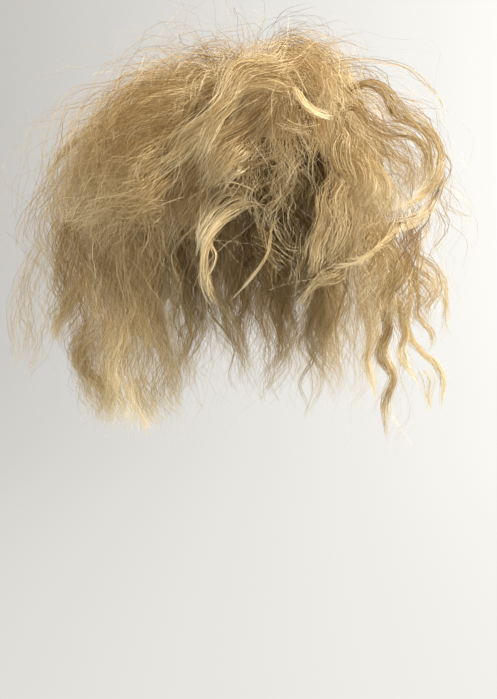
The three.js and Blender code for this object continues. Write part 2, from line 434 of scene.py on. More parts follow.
@dataclass(frozen=True)
class Curl:
    """The waves of a section's clumps: their size and length in metres, and how alike neighbours are."""

    size: float
    period: float
    alike: float
    start: float = 0.04


@dataclass(frozen=True)
class Loose:
    """How loose clumps differ from the locks that they lie between: ranges of shares of their sizes, the
    spread of their swing in degrees, and how much nearer to the crown their roots may lie."""

    fall: tuple[float, float] = (0.76, 1.05)
    reach: tuple[float, float] = (0.68, 1.04)
    lift: tuple[float, float] = (0.66, 1.04)
    wide: float = 0.9
    swing: float = 8.0
    higher: float = 0.26


@dataclass(frozen=True)
class Bends:
    """Smooth chance bends along strands: rows of waves, of which each is shorter and smaller than the last."""

    WAVES = 3
    SHORTER = 0.42
    SMALLER = 1.25
    LENGTHS = (0.7, 1.4)
    SIZES = (0.25, 1.0)
    HELD_ROOT = 0.05

    length: np.ndarray
    shift: np.ndarray
    size: np.ndarray

    @classmethod
    def of(cls, rng: np.random.Generator, count: int, size: float, longest: float) -> "Bends":
        """Chooses bends.

        Args:
            rng: The section's source of chance.
            count: How many rows are wanted.
            size: How far the widest bend goes, in metres.
            longest: The length of the longest wave, in metres.

        Returns:
            The bends.
        """
        shape = (count, cls.WAVES)
        shorter = cls.SHORTER ** np.arange(cls.WAVES)
        return cls(
            longest * shorter * rng.uniform(*cls.LENGTHS, shape), rng.uniform(0.0, TURN, shape),
            size * shorter ** cls.SMALLER * rng.uniform(*cls.SIZES, shape))

    def at(self, along: np.ndarray, rows: np.ndarray | slice = slice(None)) -> np.ndarray:
        """Finds how far each place is off to one side.

        Args:
            along: The length along its strand at which each place lies.
            rows: The row of bends that each strand follows.

        Returns:
            How far off each place is, in metres.
        """
        total = np.zeros_like(along)
        for length, shift, size in zip(self.length[rows].T, self.shift[rows].T, self.size[rows].T):
            total += size[:, None] * np.sin(TURN * along / length[:, None] + shift[:, None])
        return total * smooth(0.0, self.HELD_ROOT, along)


class Ribbons:
    """Strands of hair, gathered and then made into one mesh of narrow ribbons."""

    MAP = "OFBake"
    MAP_EDGE = 0.004
    TONES = (0.02, 0.98)
    WAYS = (0.01, 0.99)
    ROUND = 0.75

    def __init__(self) -> None:
        """Starts with no strands."""
        self.places: list[np.ndarray] = []
        self.normals: list[np.ndarray] = []
        self.spots: list[np.ndarray] = []
        self.faces: list[np.ndarray] = []
        self.count = 0
        self.strands = 0

    def add(self, middle: np.ndarray, facing: np.ndarray, width: np.ndarray, tone: np.ndarray,
            share: np.ndarray) -> None:
        """Adds strands.

        Args:
            middle: The middle line of each strand.
            facing: The direction that its flat side faces.
            width: Its width at each ring.
            tone: How pale it is, from 0 to 1.
            share: How far along the hair each ring is, from 0 to 1.
        """
        strands, rings = middle.shape[:2]
        along = unit(np.gradient(middle, axis=1))
        across = unit(np.cross(along, facing))
        out = np.cross(across, along)
        half = across * (width / 2)[..., None]
        pair = np.stack([middle - half, middle + half], axis=2)
        bent = np.stack([unit(out - across * self.ROUND), unit(out + across * self.ROUND)], axis=2)
        edge = np.array([-self.MAP_EDGE, self.MAP_EDGE])
        over = np.clip(tone, *self.TONES)[:, None, None] + edge + np.zeros((strands, rings, 2))
        up = np.clip(share, *self.WAYS)[..., None] + np.zeros((strands, rings, 2))
        first = self.count + 2 * (np.arange(strands)[:, None] * rings + np.arange(rings - 1)[None])
        self.faces.append(np.stack([first, first + 1, first + 3, first + 2], axis=-1).reshape(-1, 4))
        self.places.append(pair.reshape(-1, 3))
        self.normals.append(bent.reshape(-1, 3))
        self.spots.append(np.stack([over, up], axis=-1).reshape(-1, 2))
        self.count += strands * rings * 2
        self.strands += strands

    def made(self, name: str) -> bpy.types.Object:
        """Makes the mesh.

        Args:
            name: The piece's name.

        Returns:
            The piece, linked to the scene.
        """
        places, faces = np.concatenate(self.places), np.concatenate(self.faces)
        spots, normals = np.concatenate(self.spots), np.concatenate(self.normals)
        mesh = bpy.data.meshes.new(name)
        mesh.vertices.add(len(places))
        mesh.vertices.foreach_set("co", places.astype(np.float32).ravel())
        mesh.loops.add(faces.size)
        mesh.loops.foreach_set("vertex_index", faces.astype(np.int32).ravel())
        mesh.polygons.add(len(faces))
        mesh.polygons.foreach_set("loop_start", np.arange(0, faces.size, 4, dtype=np.int32))
        mesh.polygons.foreach_set("use_smooth", np.ones(len(faces), dtype=bool))
        chart = mesh.uv_layers.new(name=self.MAP)
        chart.data.foreach_set("uv", spots[faces.ravel()].astype(np.float32).ravel())
        mesh.update(calc_edges=True)
        kept = mesh.attributes.new("custom_normal", "FLOAT_VECTOR", "POINT")
        kept.data.foreach_set("vector", normals.astype(np.float32).ravel())
        piece = bpy.data.objects.new(name, mesh)
        bpy.context.scene.collection.objects.link(piece)
        LOG.info("%s: %d strands, %d triangles", name, self.strands, 2 * len(faces))
        return piece


class Socket:
    """A value in a material's nodes, with the signs of arithmetic."""

    def __init__(self, tree: bpy.types.NodeTree, link: bpy.types.NodeSocket) -> None:
        """Wraps a node's output."""
        self.tree = tree
        self.link = link

    def _maths(self, operation: str, *values: "Socket | float") -> "Socket":
        """A Math node over values, as a socket."""
        return node(self.tree, "ShaderNodeMath", {"operation": operation}, dict(enumerate(values)))

    def __add__(self, other: "Socket | float") -> "Socket":
        """The sum."""
        return self._maths("ADD", self, other)

    def __radd__(self, other: float) -> "Socket":
        """The sum, with the number first."""
        return self._maths("ADD", other, self)

    def __mul__(self, other: "Socket | float") -> "Socket":
        """The product."""
        return self._maths("MULTIPLY", self, other)

    def __rmul__(self, other: float) -> "Socket":
        """The product, with the number first."""
        return self._maths("MULTIPLY", other, self)


def node(tree: bpy.types.NodeTree, kind: str, settings: dict | None = None,
         inputs: dict | None = None, output: int | str = 0) -> Socket:
    """Adds a node.

    Args:
        tree: The nodes that it joins.
        kind: The node's type.
        settings: What is set on the node itself. stops is a colour ramp's list of places and colours.
        inputs: The values or links of its sockets, by name or number.
        output: Which of its outputs is wanted.

    Returns:
        The output, wrapped.
    """
    made = tree.nodes.new(kind)
    for name, value in (settings or {}).items():
        if name == "stops":
            for _ in value[2:]:
                made.color_ramp.elements.new(0.5)
            for element, (place, colour) in zip(made.color_ramp.elements, value):
                element.position = place
                element.color = (*colour, 1.0)
        else:
            setattr(made, name, value)
    for name, value in (inputs or {}).items():
        if isinstance(value, Socket):
            tree.links.new(value.link, made.inputs[name])
        else:
            made.inputs[name].default_value = value
    return Socket(tree, made.outputs[output] if made.outputs else None)


def new_material(name: str) -> tuple[bpy.types.Material, bpy.types.NodeTree]:
    """Makes an empty material.

    Args:
        name: The material's name.

    Returns:
        The material and its nodes.
    """
    material = bpy.data.materials.new(name)
    material.use_nodes = True
    material.node_tree.nodes.clear()
    return material, material.node_tree


def parts_of(tree: bpy.types.NodeTree, vector: Socket) -> tuple[Socket, Socket]:
    """Splits a vector.

    Args:
        tree: The material's nodes.
        vector: The vector.

    Returns:
        Its first two parts.
    """
    split = node(tree, "ShaderNodeSeparateXYZ", {}, {"Vector": vector})
    return split, Socket(tree, split.link.node.outputs[1])


def surface(tree: bpy.types.NodeTree, shader: Socket) -> None:
    """Makes a shader the material's surface."""
    node(tree, "ShaderNodeOutputMaterial", {}, {"Surface": shader})


@dataclass(frozen=True)
class HairFinish:
    """Blond hair: colours from root to tip for dark and pale strands, gloss, and light through it."""

    name: str
    # Both ramps run darker towards the root: partly the hair's own colour, partly painted shade of the hair's
    # inside near the base.
    dark: tuple[tuple[float, tuple[float, float, float]], ...] = (
        (0.0, (0.085, 0.043, 0.011)), (0.22, (0.205, 0.113, 0.031)), (0.62, (0.365, 0.224, 0.073)),
        (1.0, (0.64, 0.50, 0.25)))
    pale: tuple[tuple[float, tuple[float, float, float]], ...] = (
        (0.0, (0.35, 0.222, 0.080)), (0.22, (0.68, 0.50, 0.235)), (0.62, (0.84, 0.69, 0.39)),
        (1.0, (0.95, 0.87, 0.64)))
    roughness: float = 0.32
    through: float = 0.34

    def made(self) -> bpy.types.Material:
        """Builds the material from the strands' own map: across it the tone, and up it the way to the tip.

        Returns:
            The material.
        """
        material, tree = new_material(self.name)
        tone, way = parts_of(tree, node(tree, "ShaderNodeUVMap", {"uv_map": Ribbons.MAP}))
        ramps = [node(tree, "ShaderNodeValToRGB", {"stops": stops}, {"Fac": way})
                 for stops in (self.dark, self.pale)]
        colour = node(tree, "ShaderNodeMix", {"data_type": "RGBA"},
                      {"Factor": tone, 6: ramps[0], 7: ramps[1]}, output=2)
        gloss = node(tree, "ShaderNodeBsdfPrincipled", {},
                     {"Base Color": colour, "Roughness": self.roughness, "Specular IOR Level": 0.4})
        glow = node(tree, "ShaderNodeBsdfTranslucent", {}, {"Color": colour})
        surface(tree, node(tree, "ShaderNodeMixShader", {}, {0: self.through, 1: gloss, 2: glow}))
        return material


@dataclass(frozen=True)
class Sight:
    """What the camera sees: the line from its eye through each pixel, and the hair that it meets."""

    eye: tuple[float, float, float] = (0.0, -0.600, -0.141)
    pitch: float = 4.58
    yaw: float = 0.964
    wide: float = 497.0
    high: float = 699.0
    focal: float = 743.0

    @staticmethod
    def forms() -> BVHTree:
        """The CAD's hair, as a form that lines can be cast at."""
        places, faces = [], []
        for name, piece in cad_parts.items():
            if name.endswith("_hair"):
                first = len(places)
                places += [piece.matrix_world @ corner.co for corner in piece.data.vertices]
                faces += [[first + corner for corner in face.vertices] for face in piece.data.polygons]
        return BVHTree.FromPolygons(places, faces)

    def ways(self, pixels: np.ndarray) -> np.ndarray:
        """Finds the directions in which the camera sees pixels.

        Args:
            pixels: The pixels, with across and down in the last axis.

        Returns:
            The directions, of which each goes one metre deep.
        """
        ahead, right, up = self.axes()
        across = (pixels[..., :1] - self.wide / 2) / self.focal
        over = (self.high / 2 - pixels[..., 1:]) / self.focal
        way = ahead + right * across + up * over
        return way / way[..., 1:2]

    def axes(self) -> tuple[np.ndarray, np.ndarray, np.ndarray]:
        """The directions ahead of the camera, to its right and up from it."""
        pitch, yaw = math.radians(self.pitch), math.radians(self.yaw)
        level = math.cos(pitch)
        ahead = np.array([-math.sin(yaw) * level, math.cos(yaw) * level, -math.sin(pitch)])
        right = np.array([math.cos(yaw), math.sin(yaw), 0.0])
        return ahead, right, np.cross(right, ahead)

    def pixels(self, places: np.ndarray) -> np.ndarray:
        """The pixels at which the camera sees places, with across and down in the last axis."""
        ahead, right, up = self.axes()
        away = places - np.array(self.eye)
        deep = away @ ahead / self.focal
        return np.stack([self.wide / 2 + away @ right / deep, self.high / 2 - away @ up / deep], axis=-1)

    def depths(self, ways: np.ndarray, forms: BVHTree) -> np.ndarray:
        """How deep the hair's forms lie along each way, or not a number where the way misses them."""
        found = []
        for way in ways:
            place = forms.ray_cast(Vector(self.eye), Vector(way))[0]
            found.append(math.nan if place is None else place.y - self.eye[1])
        return np.array(found)


class Pale(Enum):
    """How pale drawn hair is."""

    DARK = 0.02
    SHADED = 0.14
    MIDDLE = 0.34
    BRIGHT = 0.58
    WHITE = 0.88


Guide = tuple[float, ...]


@dataclass
class Growth:
    """What the strands of a section are grown with.

    ribbons is what they are added to, rng the section's source of chance, room the room that the hair may fill,
    sight what the camera sees, and forms the CAD's hair.
    """

    ribbons: Ribbons
    rng: np.random.Generator
    room: "Room"
    sight: Sight
    forms: BVHTree


@dataclass(frozen=True)
class Flow:
    """Hair whose course is drawn as the camera sees it, and which lies on the hair's form.

    guides holds courses side by side, each as the pixels that it passes from its root to its tip (across, down,
    across, down), and the hair fills the room between them. Sizes are in metres, and the rest are shares or
    counts:

    width: how far clumps spread beside the courses, and fray how much more at their tips.
    mixed: how much the clumps differ in tone.
    over: how far before the form the hair lies, and tucked how much deeper its roots lie.
    depths: its own places behind the eye, from root to tip, where it leaves the form.
    leans: how steeply it may go away from the eye.
    thick: how wide a strand is.
    wave: the size of the clumps' waves, frizz that of a strand's own bends.
    loose: how far strands lie from their clump's middle.
    wild: how many strands bend far more than the rest.
    ragged: how much earlier whole clumps end, and late how much later they start.
    """

    FEWEST_CLUMPS = 3
    SPREAD = 0.10
    STARTS = 0.12
    STOPS = 0.16
    WILDER = 3.2
    WAVE_LENGTHS = (0.036, 0.060)
    BEND = (0.22, 0.0006, 0.13)
    FRIZZ_LENGTH = 0.10
    SETS_IN = 0.3
    WIDE_TO = 0.45
    NARROWER = 0.6
    FRAYS_FROM = 0.6
    ROOT = 0.12
    TURNED = 0.35
    WIDTHS = (0.7, 1.3)
    TONES = 0.22
    WAY = (0.28, 0.70)

    name: str
    guides: tuple[Guide, ...]
    width: float
    strands: int
    pale: Pale = Pale.MIDDLE
    mixed: float = 0.12
    over: float = 0.008
    fray: float = 0.5
    thick: float = 0.00032
    frizz: float = 0.0010
    wave: float = 0.0012
    loose: float = 0.0008
    tucked: float = 0.010
    depths: tuple[float, ...] = ()
    rings: int = 30
    in_clump: int = 9
    wild: float = 0.10
    leans: float = 0.5
    ragged: float = 0.24
    late: float = 0.20

    def course(self, guide: Guide, growth: Growth) -> np.ndarray:
        """Finds the middle line of a guide.

        Args:
            guide: The pixels that it passes: across, down, across, down.
            growth: What strands are grown with.

        Returns:
            Places along the middle line, in metres.
        """
        sight, shares = growth.sight, np.linspace(0.0, 1.0, self.rings)
        pixels = np.array(guide, dtype=float).reshape(1, -1, 2)
        ways = sight.ways(through(pixels, shares[None])[0])
        if self.depths:
            deep = np.interp(shares, np.linspace(0.0, 1.0, len(self.depths)), self.depths)
        else:
            deep = self.laid(sight.depths(ways, growth.forms), -sight.eye[1])
            deep = deep - self.over + self.tucked * smooth(self.ROOT, 0.0, shares)
            far = np.linalg.norm(np.diff(ways * deep[:, None], axis=0)[:, ::2], axis=1)
            for step in range(1, self.rings):
                deep[step] = min(deep[step], deep[step - 1] + self.leans * far[step - 1])
        return np.array(sight.eye) + ways * deep[:, None]

    @staticmethod
    def laid(deep: np.ndarray, unseen: float, reach: int = 3) -> np.ndarray:
        """Lays a line smoothly over what is nearest beside it.

        Args:
            deep: How deep the form is at each ring, or not a number where it is missed.
            unseen: The depth where the form is missed all along.
            reach: Over how many rings to each side the line is smooth.

        Returns:
            The depth of the line at each ring.
        """
        known, steps, span = ~np.isnan(deep), np.arange(len(deep)), 2 * reach + 1
        deep = np.interp(steps, steps[known], deep[known]) if known.any() else np.full(len(deep), unseen)
        edged = np.pad(deep, 2 * reach, mode="edge")
        near = np.array([edged[i:i + span].min() for i in range(len(deep) + 2 * reach)])
        return np.array([near[i:i + span].mean() for i in steps])

    def grow(self, growth: Growth) -> None:
        """Grows the strands."""
        rng = growth.rng
        lines = np.stack([self.course(guide, growth) for guide in self.guides])
        count, last = self.strands, len(lines) - 1
        clumps = max(self.FEWEST_CLUMPS, count // self.in_clump)
        clump = rng.integers(0, clumps, count)
        beside = last * rng.random(clumps)[clump] + rng.normal(0.0, self.SPREAD, count)
        beside = np.clip(beside, 0.0, last)
        first = np.minimum(np.floor(beside).astype(int), max(last - 1, 0))
        knots = mix(lines[first], lines[np.minimum(first + 1, last)], (beside - first)[:, None, None])
        start = self.STARTS * rng.random(count) + self.late * rng.random(clumps)[clump] ** 2
        stop = 1.0 - self.STOPS * rng.random(count) ** 2 - self.ragged * rng.random(clumps)[clump] ** 1.5
        wild = np.where(rng.random(count) < self.wild, self.WILDER, 1.0)[:, None]
        shares = spaced(self.rings, 0.0, start, stop)
        plain = through(knots, shares)
        along = unit(np.gradient(plain, axis=1))
        side = unit(np.cross(along, unit(np.array(growth.sight.eye) - plain)))
        outward = np.cross(side, along)
        length = length_along(plain)
        wide = 0.5 + 0.5 * smooth(0.0, self.SETS_IN, shares)
        wide = wide * (1.0 - self.NARROWER * smooth(self.WIDE_TO, 1.0, shares))
        wide = wide + self.fray * smooth(self.FRAYS_FROM, 1.0, shares)
        waved = TURN * length / rng.uniform(*self.WAVE_LENGTHS, clumps)[clump, None]
        waved = waved + rng.uniform(0.0, TURN, clumps)[clump, None]
        share, least, longest = self.BEND
        apart = []
        for flat, trend in ((1.0, np.sin(waved)), (0.5, np.cos(waved))):
            lean = flat * rng.normal(0.0, 0.5, clumps)[clump, None] * self.width / 2 * wide
            bend = Bends.of(rng, clumps, share * flat * self.width + least, longest).at(length, clump)
            own = rng.normal(0.0, self.loose, count)[:, None] * (1.3 - shares)
            own = own + wild * Bends.of(rng, count, self.frizz, self.FRIZZ_LENGTH).at(length)
            apart.append(lean + bend + own + self.wave * trend * smooth(0.0, self.SETS_IN, shares))
        local = np.linspace(0.0, 1.0, self.rings)[None]
        under = self.tucked * smooth(0.16, 0.0, local) * smooth(0.02, 0.10, start)[:, None]
        middle = plain + side * apart[0][..., None] + outward * (apart[1] - under)[..., None]
        facing = chance_facing(outward, self.TURNED, rng)
        width = self.thick * rng.uniform(*self.WIDTHS, count)[:, None] * tapered(shares) / np.sqrt(wild)
        tone = self.pale.value + rng.normal(0.0, self.mixed, clumps)[clump]
        tone = tone + rng.normal(0.0, self.TONES, count)
        root, more = self.WAY
        growth.ribbons.add(growth.room.held(middle), facing, width, tone, root + more * shares)


@dataclass(frozen=True)
class Opening:
    """A place where the hair is thin, so that light shows through it: an oval of the picture, in pixels."""

    across: float
    down: float
    wide: float
    high: float
    kept: float

    def thinned(self, pixels: np.ndarray, rng: np.random.Generator) -> np.ndarray:
        """Chooses the strands that are kept.

        Args:
            pixels: The pixels that each strand passes.
            rng: The section's source of chance.

        Returns:
            Whether each strand is kept.
        """
        middle, size = np.array([self.across, self.down]), np.array([self.wide, self.high])
        inside = (np.linalg.norm((pixels - middle) / size, axis=-1) < 1.0).any(axis=1)
        return ~inside | (rng.random(len(pixels)) < self.kept)


@dataclass(frozen=True)
class Clumps:
    """The clumps of a section, with a row for each: its course, place in its lock, tone and waves."""

    courses: Locks
    angle: np.ndarray
    radius: np.ndarray
    swirl: np.ndarray
    tone: np.ndarray
    phase: np.ndarray
    period: np.ndarray
    size: np.ndarray
    tilt: np.ndarray
    end: np.ndarray
    bends: tuple[Bends, ...]


@dataclass(frozen=True)
class Chance:
    """How much clumps and strands differ by chance: ranges, spreads and shares, with lengths in metres.

    The first group is for clumps and the second for strands. lifted and swept say how far a stray strand goes
    out from the hair and to the side, and how suddenly.
    """

    in_lock: float = 0.9
    between: float = 0.5
    evenly: float = 0.6
    swirl: float = 0.9
    # hidden is the range of root shares over which under darkens clumps: painted shade of the hair's inside.
    hidden: tuple[float, float] = (0.5, 0.95)
    lock_phase: float = 2.4
    clump_phase: float = 3.0
    periods: tuple[float, float] = (0.8, 1.3)
    sizes: tuple[float, float] = (0.5, 1.4)
    tilts: tuple[float, float] = (-0.5, 0.5)
    ends: tuple[float, float] = (0.88, 1.0)
    wander_length: float = 0.24

    starts: tuple[float, float] = (0.0, 0.03)
    shorter: float = 0.18
    closer: float = 0.25
    stray_starts: tuple[float, float] = (0.02, 0.66)
    stray_lengths: tuple[float, float] = (0.16, 0.42)
    cross_swing: float = 2.5
    cross_lift: float = 0.010
    raised_reach: float = 0.3
    curl_sets_in: float = 0.4
    curl_flat: float = 0.7
    wander_flat: float = 0.5
    flat: float = 0.7
    twist: float = 1.2
    crimp_lengths: tuple[float, float] = (0.022, 0.050)
    crimps: tuple[float, float] = (0.3, 1.2)
    crimp_sets_in: tuple[float, float] = (0.05, 0.3)
    drift_length: float = 0.15
    strayed: float = 0.024
    lifts: tuple[float, float] = (0.1, 1.3)
    lifted: float = 1.4
    swept: float = 1.3
    clear: float = 0.001
    turned: float = 0.55
    widths: tuple[float, float] = (0.7, 1.3)
    tones: float = 0.17


@dataclass(frozen=True)
class HairSection:
    """One section of the hair: the CAD node that it stands for, its fans of locks and its strands.

    clumps and triangles are counts. between holds the pairs of layers, counted through layers and sweeps,
    between which loose clumps run, and in_locks is the share of clumps that follow a lock. tone and toned are
    how pale the clumps are and how much they differ, under how much darker the clumps rooted low in the base
    are, as painted shade of the hair's inside, and wander how far clumps leave their course, in metres.
    """

    DRAWN_SEED = 100

    name: str
    replaces: str
    seed: int
    clumps: int
    triangles: int
    curl: Curl
    layers: tuple[Layer, ...]
    between: tuple[tuple[int, int], ...]
    habits: tuple[Habit, ...]
    sweeps: tuple[Layer, ...] = ()
    drawn: tuple[Flow, ...] = ()
    tone: float = 0.50
    toned: float = 0.20
    in_locks: float = 0.5
    openings: tuple[Opening, ...] = ()
    wander: float = 0.007
    under: float = 0.12
    loose: Loose = field(default_factory=Loose)
    chance: Chance = field(default_factory=Chance)
    cut: Cut = field(default_factory=Cut)

    def courses(self, rng: np.random.Generator) -> tuple[Locks, np.ndarray, np.ndarray]:
        """Chooses where each clump runs: in one of the locks, or loose between two layers.

        Args:
            rng: The section's source of chance.

        Returns:
            The clumps' courses, the number of the lock that each follows, and whether it is in a lock.
        """
        fans = [layer.fan(number) for number, layer in enumerate(self.layers)]
        locks = Locks.made_by(lambda name: np.concatenate([getattr(fan, name) for fan in fans]))
        count, loose = self.clumps, self.loose
        weight = locks.width * (0.5 + locks.fall)
        lock = rng.choice(len(weight), count, p=weight / weight.sum())
        within = rng.random(count) < self.in_locks
        pairs = np.array(self.between)[rng.integers(0, len(self.between), count)]
        share = rng.random(count)
        turn_share = rng.random(count)
        closer = rng.uniform(*loose.reach, count)
        sides = []
        for chosen in pairs.T:
            rows = []
            for layer in self.layers + self.sweeps:
                odd = [Variety(*row) for row in np.stack([
                    rng.uniform(*loose.fall, count), np.full(count, loose.wide),
                    rng.normal(0.0, loose.swing, count), rng.random(count),
                    rng.uniform(*loose.lift, count)], axis=1)]
                rows.append(layer.spread(mix(layer.start, layer.stop, turn_share), odd))
            sides.append(Locks.made_by(
                lambda name: np.stack([getattr(row, name) for row in rows])[chosen, np.arange(count)]))
        free = sides[0].mixed(sides[1], share)
        free.reach = free.reach * closer
        free.tuck = free.tuck * closer
        free.root = free.root - loose.higher * rng.random(count)
        held = locks.pick(lock)
        courses = Locks.made_by(lambda name: np.where(within, getattr(held, name), getattr(free, name)))
        return courses, lock, within

    def clumped(self, rng: np.random.Generator) -> Clumps:
        """Chooses the section's clumps.

        Args:
            rng: The section's source of chance.

        Returns:
            The clumps.
        """
        courses, lock, within = self.courses(rng)
        count, curl, chance = self.clumps, self.curl, self.chance
        return Clumps(
            courses=courses,
            angle=rng.uniform(0.0, TURN, count),
            radius=rng.random(count) ** chance.evenly * np.where(within, chance.in_lock, chance.between),
            swirl=rng.normal(0.0, chance.swirl, count),
            # Clumps rooted low in the base are made darker: painted shade of the hair's inside.
            tone=rng.normal(self.tone, self.toned, count) - self.under * smooth(*chance.hidden, courses.root),
            phase=np.where(within, lock * chance.lock_phase, 0.0)
            + rng.normal(0.0, 1.0 - curl.alike, count) * chance.clump_phase,
            period=curl.period * rng.uniform(*chance.periods, count),
            size=curl.size * rng.uniform(*chance.sizes, count),
            tilt=rng.uniform(*chance.tilts, count),
            end=rng.uniform(*chance.ends, count),
            bends=tuple(Bends.of(rng, count, self.wander, chance.wander_length) for _ in range(2)))

    def crossed(self, habit: Habit, course: Locks, rng: np.random.Generator) -> Locks:
        """Turns and raises the courses of strands that cross the others.

        Args:
            habit: How strands of this kind lie.
            course: The course of each strand's clump.
            rng: The section's source of chance.

        Returns:
            The courses of the strands.
        """
        count, chance = len(course.turn), self.chance
        course.turn = course.turn + np.radians(habit.cross) * rng.normal(size=count)
        course.swing = course.swing + np.radians(chance.cross_swing * habit.cross) * rng.normal(size=count)
        course.lift = course.lift + chance.cross_lift * habit.cross * rng.normal(size=count)
        course.lift = course.lift + habit.raised * rng.random(count)
        course.reach = course.reach * (1.0 + chance.raised_reach * habit.raised * rng.random(count))
        return course

    def apart(self, habit: Habit, clumps: Clumps, clump: np.ndarray, run: Run, shares: np.ndarray,
              rng: np.random.Generator) -> tuple[np.ndarray, np.ndarray]:
        """Finds how far strands lie from the middle of their course.

        Args:
            habit: How strands of this kind lie.
            clumps: The section's clumps.
            clump: The number of each strand's clump.
            run: Where the strands' courses run.
            shares: The shares of the course at which the rings lie.
            rng: The section's source of chance.

        Returns:
            How far each ring lies to the side, and how far out.
        """
        count, chance, cut = len(clump), self.chance, self.cut
        turned = clumps.angle[clump, None] + clumps.swirl[clump, None] * shares
        full = clumps.radius[clump, None] * run.full
        wave_angle = TURN * run.length / clumps.period[clump, None] + clumps.phase[clump, None]
        set_in = smooth(self.curl.start, self.curl.start + chance.curl_sets_in, shares)
        swell = clumps.size[clump, None] * set_in
        u = full * cut.lock_width / 2 * np.cos(turned) + swell * np.sin(wave_angle)
        u = u + clumps.bends[0].at(run.length, clump)
        v = full * cut.lock_thickness / 2 * np.sin(turned)
        v = v + swell * np.cos(wave_angle + clumps.tilt[clump, None]) * chance.curl_flat
        v = v + chance.wander_flat * clumps.bends[1].at(run.length, clump)
        own = rng.uniform(0.0, TURN, count)[:, None]
        off = habit.apart * np.sqrt(rng.random(count))[:, None] * mix(*habit.gather.value, shares)
        twist = own + rng.normal(0.0, chance.twist, count)[:, None] * shares
        crimped = TURN * run.length / rng.uniform(*chance.crimp_lengths, count)[:, None] + own
        crimp = habit.crimp * rng.uniform(*chance.crimps, count)[:, None]
        crimp = crimp * smooth(*chance.crimp_sets_in, shares)
        u = u + off * np.cos(twist) + Bends.of(rng, count, habit.drift, chance.drift_length).at(run.length)
        v = v + chance.flat * off * np.sin(twist)
        v = v + Bends.of(rng, count, habit.drift, chance.drift_length).at(run.length)
        return u + crimp * np.sin(crimped), v + crimp * np.cos(crimped)

    def strands(self, habit: Habit, clumps: Clumps, growth: Growth) -> None:
        """Grows the strands of one kind.

        Args:
            habit: How strands of this kind lie.
            clumps: The section's clumps.
            growth: What strands are grown with.
        """
        rng, chance, head = growth.rng, self.chance, self.cut.head
        count = int(self.triangles * habit.part / (2 * (habit.rings - 1)))
        clump = rng.integers(0, self.clumps, count)
        stray = habit.gather is Gather.STRAY
        start = rng.uniform(*(chance.stray_starts if stray else chance.starts), count)
        if stray:
            stop = start + rng.uniform(*chance.stray_lengths, count)
        else:
            stop = clumps.end[clump] - chance.shorter * rng.random(count) ** 2
        shares = spaced(habit.rings, 0.0 if stray else chance.closer, start, np.minimum(stop, 1.0))
        run = self.cut.run(self.crossed(habit, clumps.courses.pick(clump), rng), shares)
        u, v = self.apart(habit, clumps, clump, run, shares, rng)
        if stray:
            gone = (shares - start[:, None]) / (stop - start)[:, None]
            v = v + chance.strayed * rng.uniform(*chance.lifts, count)[:, None] * gone ** chance.lifted
            u = u + chance.strayed * rng.normal(0.0, 1.0, count)[:, None] * gone ** chance.swept
        middle = run.middle + run.side * u[..., None] + run.outward * v[..., None]
        middle = head.cleared(middle, head.roots_height + chance.clear)
        facing = chance_facing(run.outward, chance.turned, rng)
        local = np.linspace(0.0, 1.0, habit.rings)[None]
        width = habit.thick * rng.uniform(*chance.widths, count)[:, None] * tapered(local)
        tone = clumps.tone[clump] + habit.pale + rng.normal(0.0, chance.tones, count)
        kept = np.ones(count, dtype=bool)
        for opening in self.openings:
            kept &= opening.thinned(growth.sight.pixels(middle), rng)
        held = growth.room.held(middle)
        growth.ribbons.add(held[kept], facing[kept], width[kept], tone[kept], shares[kept])

    def build(self, finish: bpy.types.Material, room: "Room", sight: Sight,
              forms: BVHTree) -> bpy.types.Object:
        """Builds the section's piece and puts it in the place of its CAD node.

        Args:
            finish: The hair's material.
            room: The room that the hair may fill.
            sight: What the camera sees.
            forms: The CAD's hair.

        Returns:
            The piece.
        """
        growth = Growth(Ribbons(), np.random.default_rng(self.seed), room, sight, forms)
        clumps = self.clumped(growth.rng)
        for habit in self.habits:
            self.strands(habit, clumps, growth)
        growth.rng = np.random.default_rng(self.seed + self.DRAWN_SEED)
        for flow in self.drawn:
            flow.grow(growth)
        piece = growth.ribbons.made(self.name)
        piece.data.materials.append(finish)
        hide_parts(self.replaces)
        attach(piece, "root")
        return piece


@dataclass(frozen=True)
class Room:
    """The room that the hair may fill: the CAD's box and a little more."""

    low: tuple[float, ...]
    high: tuple[float, ...]
    soft: float = 0.012

    @classmethod
    def of_cad(cls, share: float = 0.026, extra: float = 0.009) -> "Room":
        """The room that goes with the CAD's box, as a share of each side and a bit more, in metres."""
        low, high = (np.array(corner) for corner in CAD_BOX)
        more = share * (high - low) + extra
        return cls(tuple(low - more), tuple(high + more))

    def held(self, places: np.ndarray) -> np.ndarray:
        """Bends strands that come near the room's edge, so that they stay in it."""
        low, high = np.array(self.low) + self.soft, np.array(self.high) - self.soft
        over, under = np.maximum(places - high, 0.0), np.maximum(low - places, 0.0)
        kept = self.soft * (np.exp(-under / self.soft) - np.exp(-over / self.soft))
        return np.clip(places, low, high) + kept


HIGH = Habit(
    Gather.EASY, 0.09, rings=28, apart=0.0150, drift=0.0160, crimp=0.0024, thick=0.00018, pale=0.1,
    cross=10.0, raised=0.52)
STRAY = Habit(
    Gather.STRAY, 0.11, rings=18, apart=0.0100, drift=0.0110, crimp=0.0020, thick=0.00019, pale=0.1,
    cross=8.0)
FRONT_HABITS = (
    Habit(Gather.CLOSE, 0.48, rings=38, apart=0.0046, drift=0.0018, crimp=0.0004, thick=0.00040, pale=0.0),
    Habit(Gather.EASY, 0.32, rings=30, apart=0.0090, drift=0.0085, crimp=0.0020, thick=0.00027, pale=0.04,
          cross=4.0),
    HIGH,
    STRAY,
)
BACK_HABITS = (
    Habit(Gather.CLOSE, 0.50, rings=34, apart=0.0052, drift=0.0024, crimp=0.0004, thick=0.00050, pale=0.0),
    Habit(Gather.EASY, 0.32, rings=28, apart=0.0100, drift=0.0095, crimp=0.0020, thick=0.00031, pale=0.04,
          cross=4.0),
    HIGH,
    replace(STRAY, part=0.09),
)
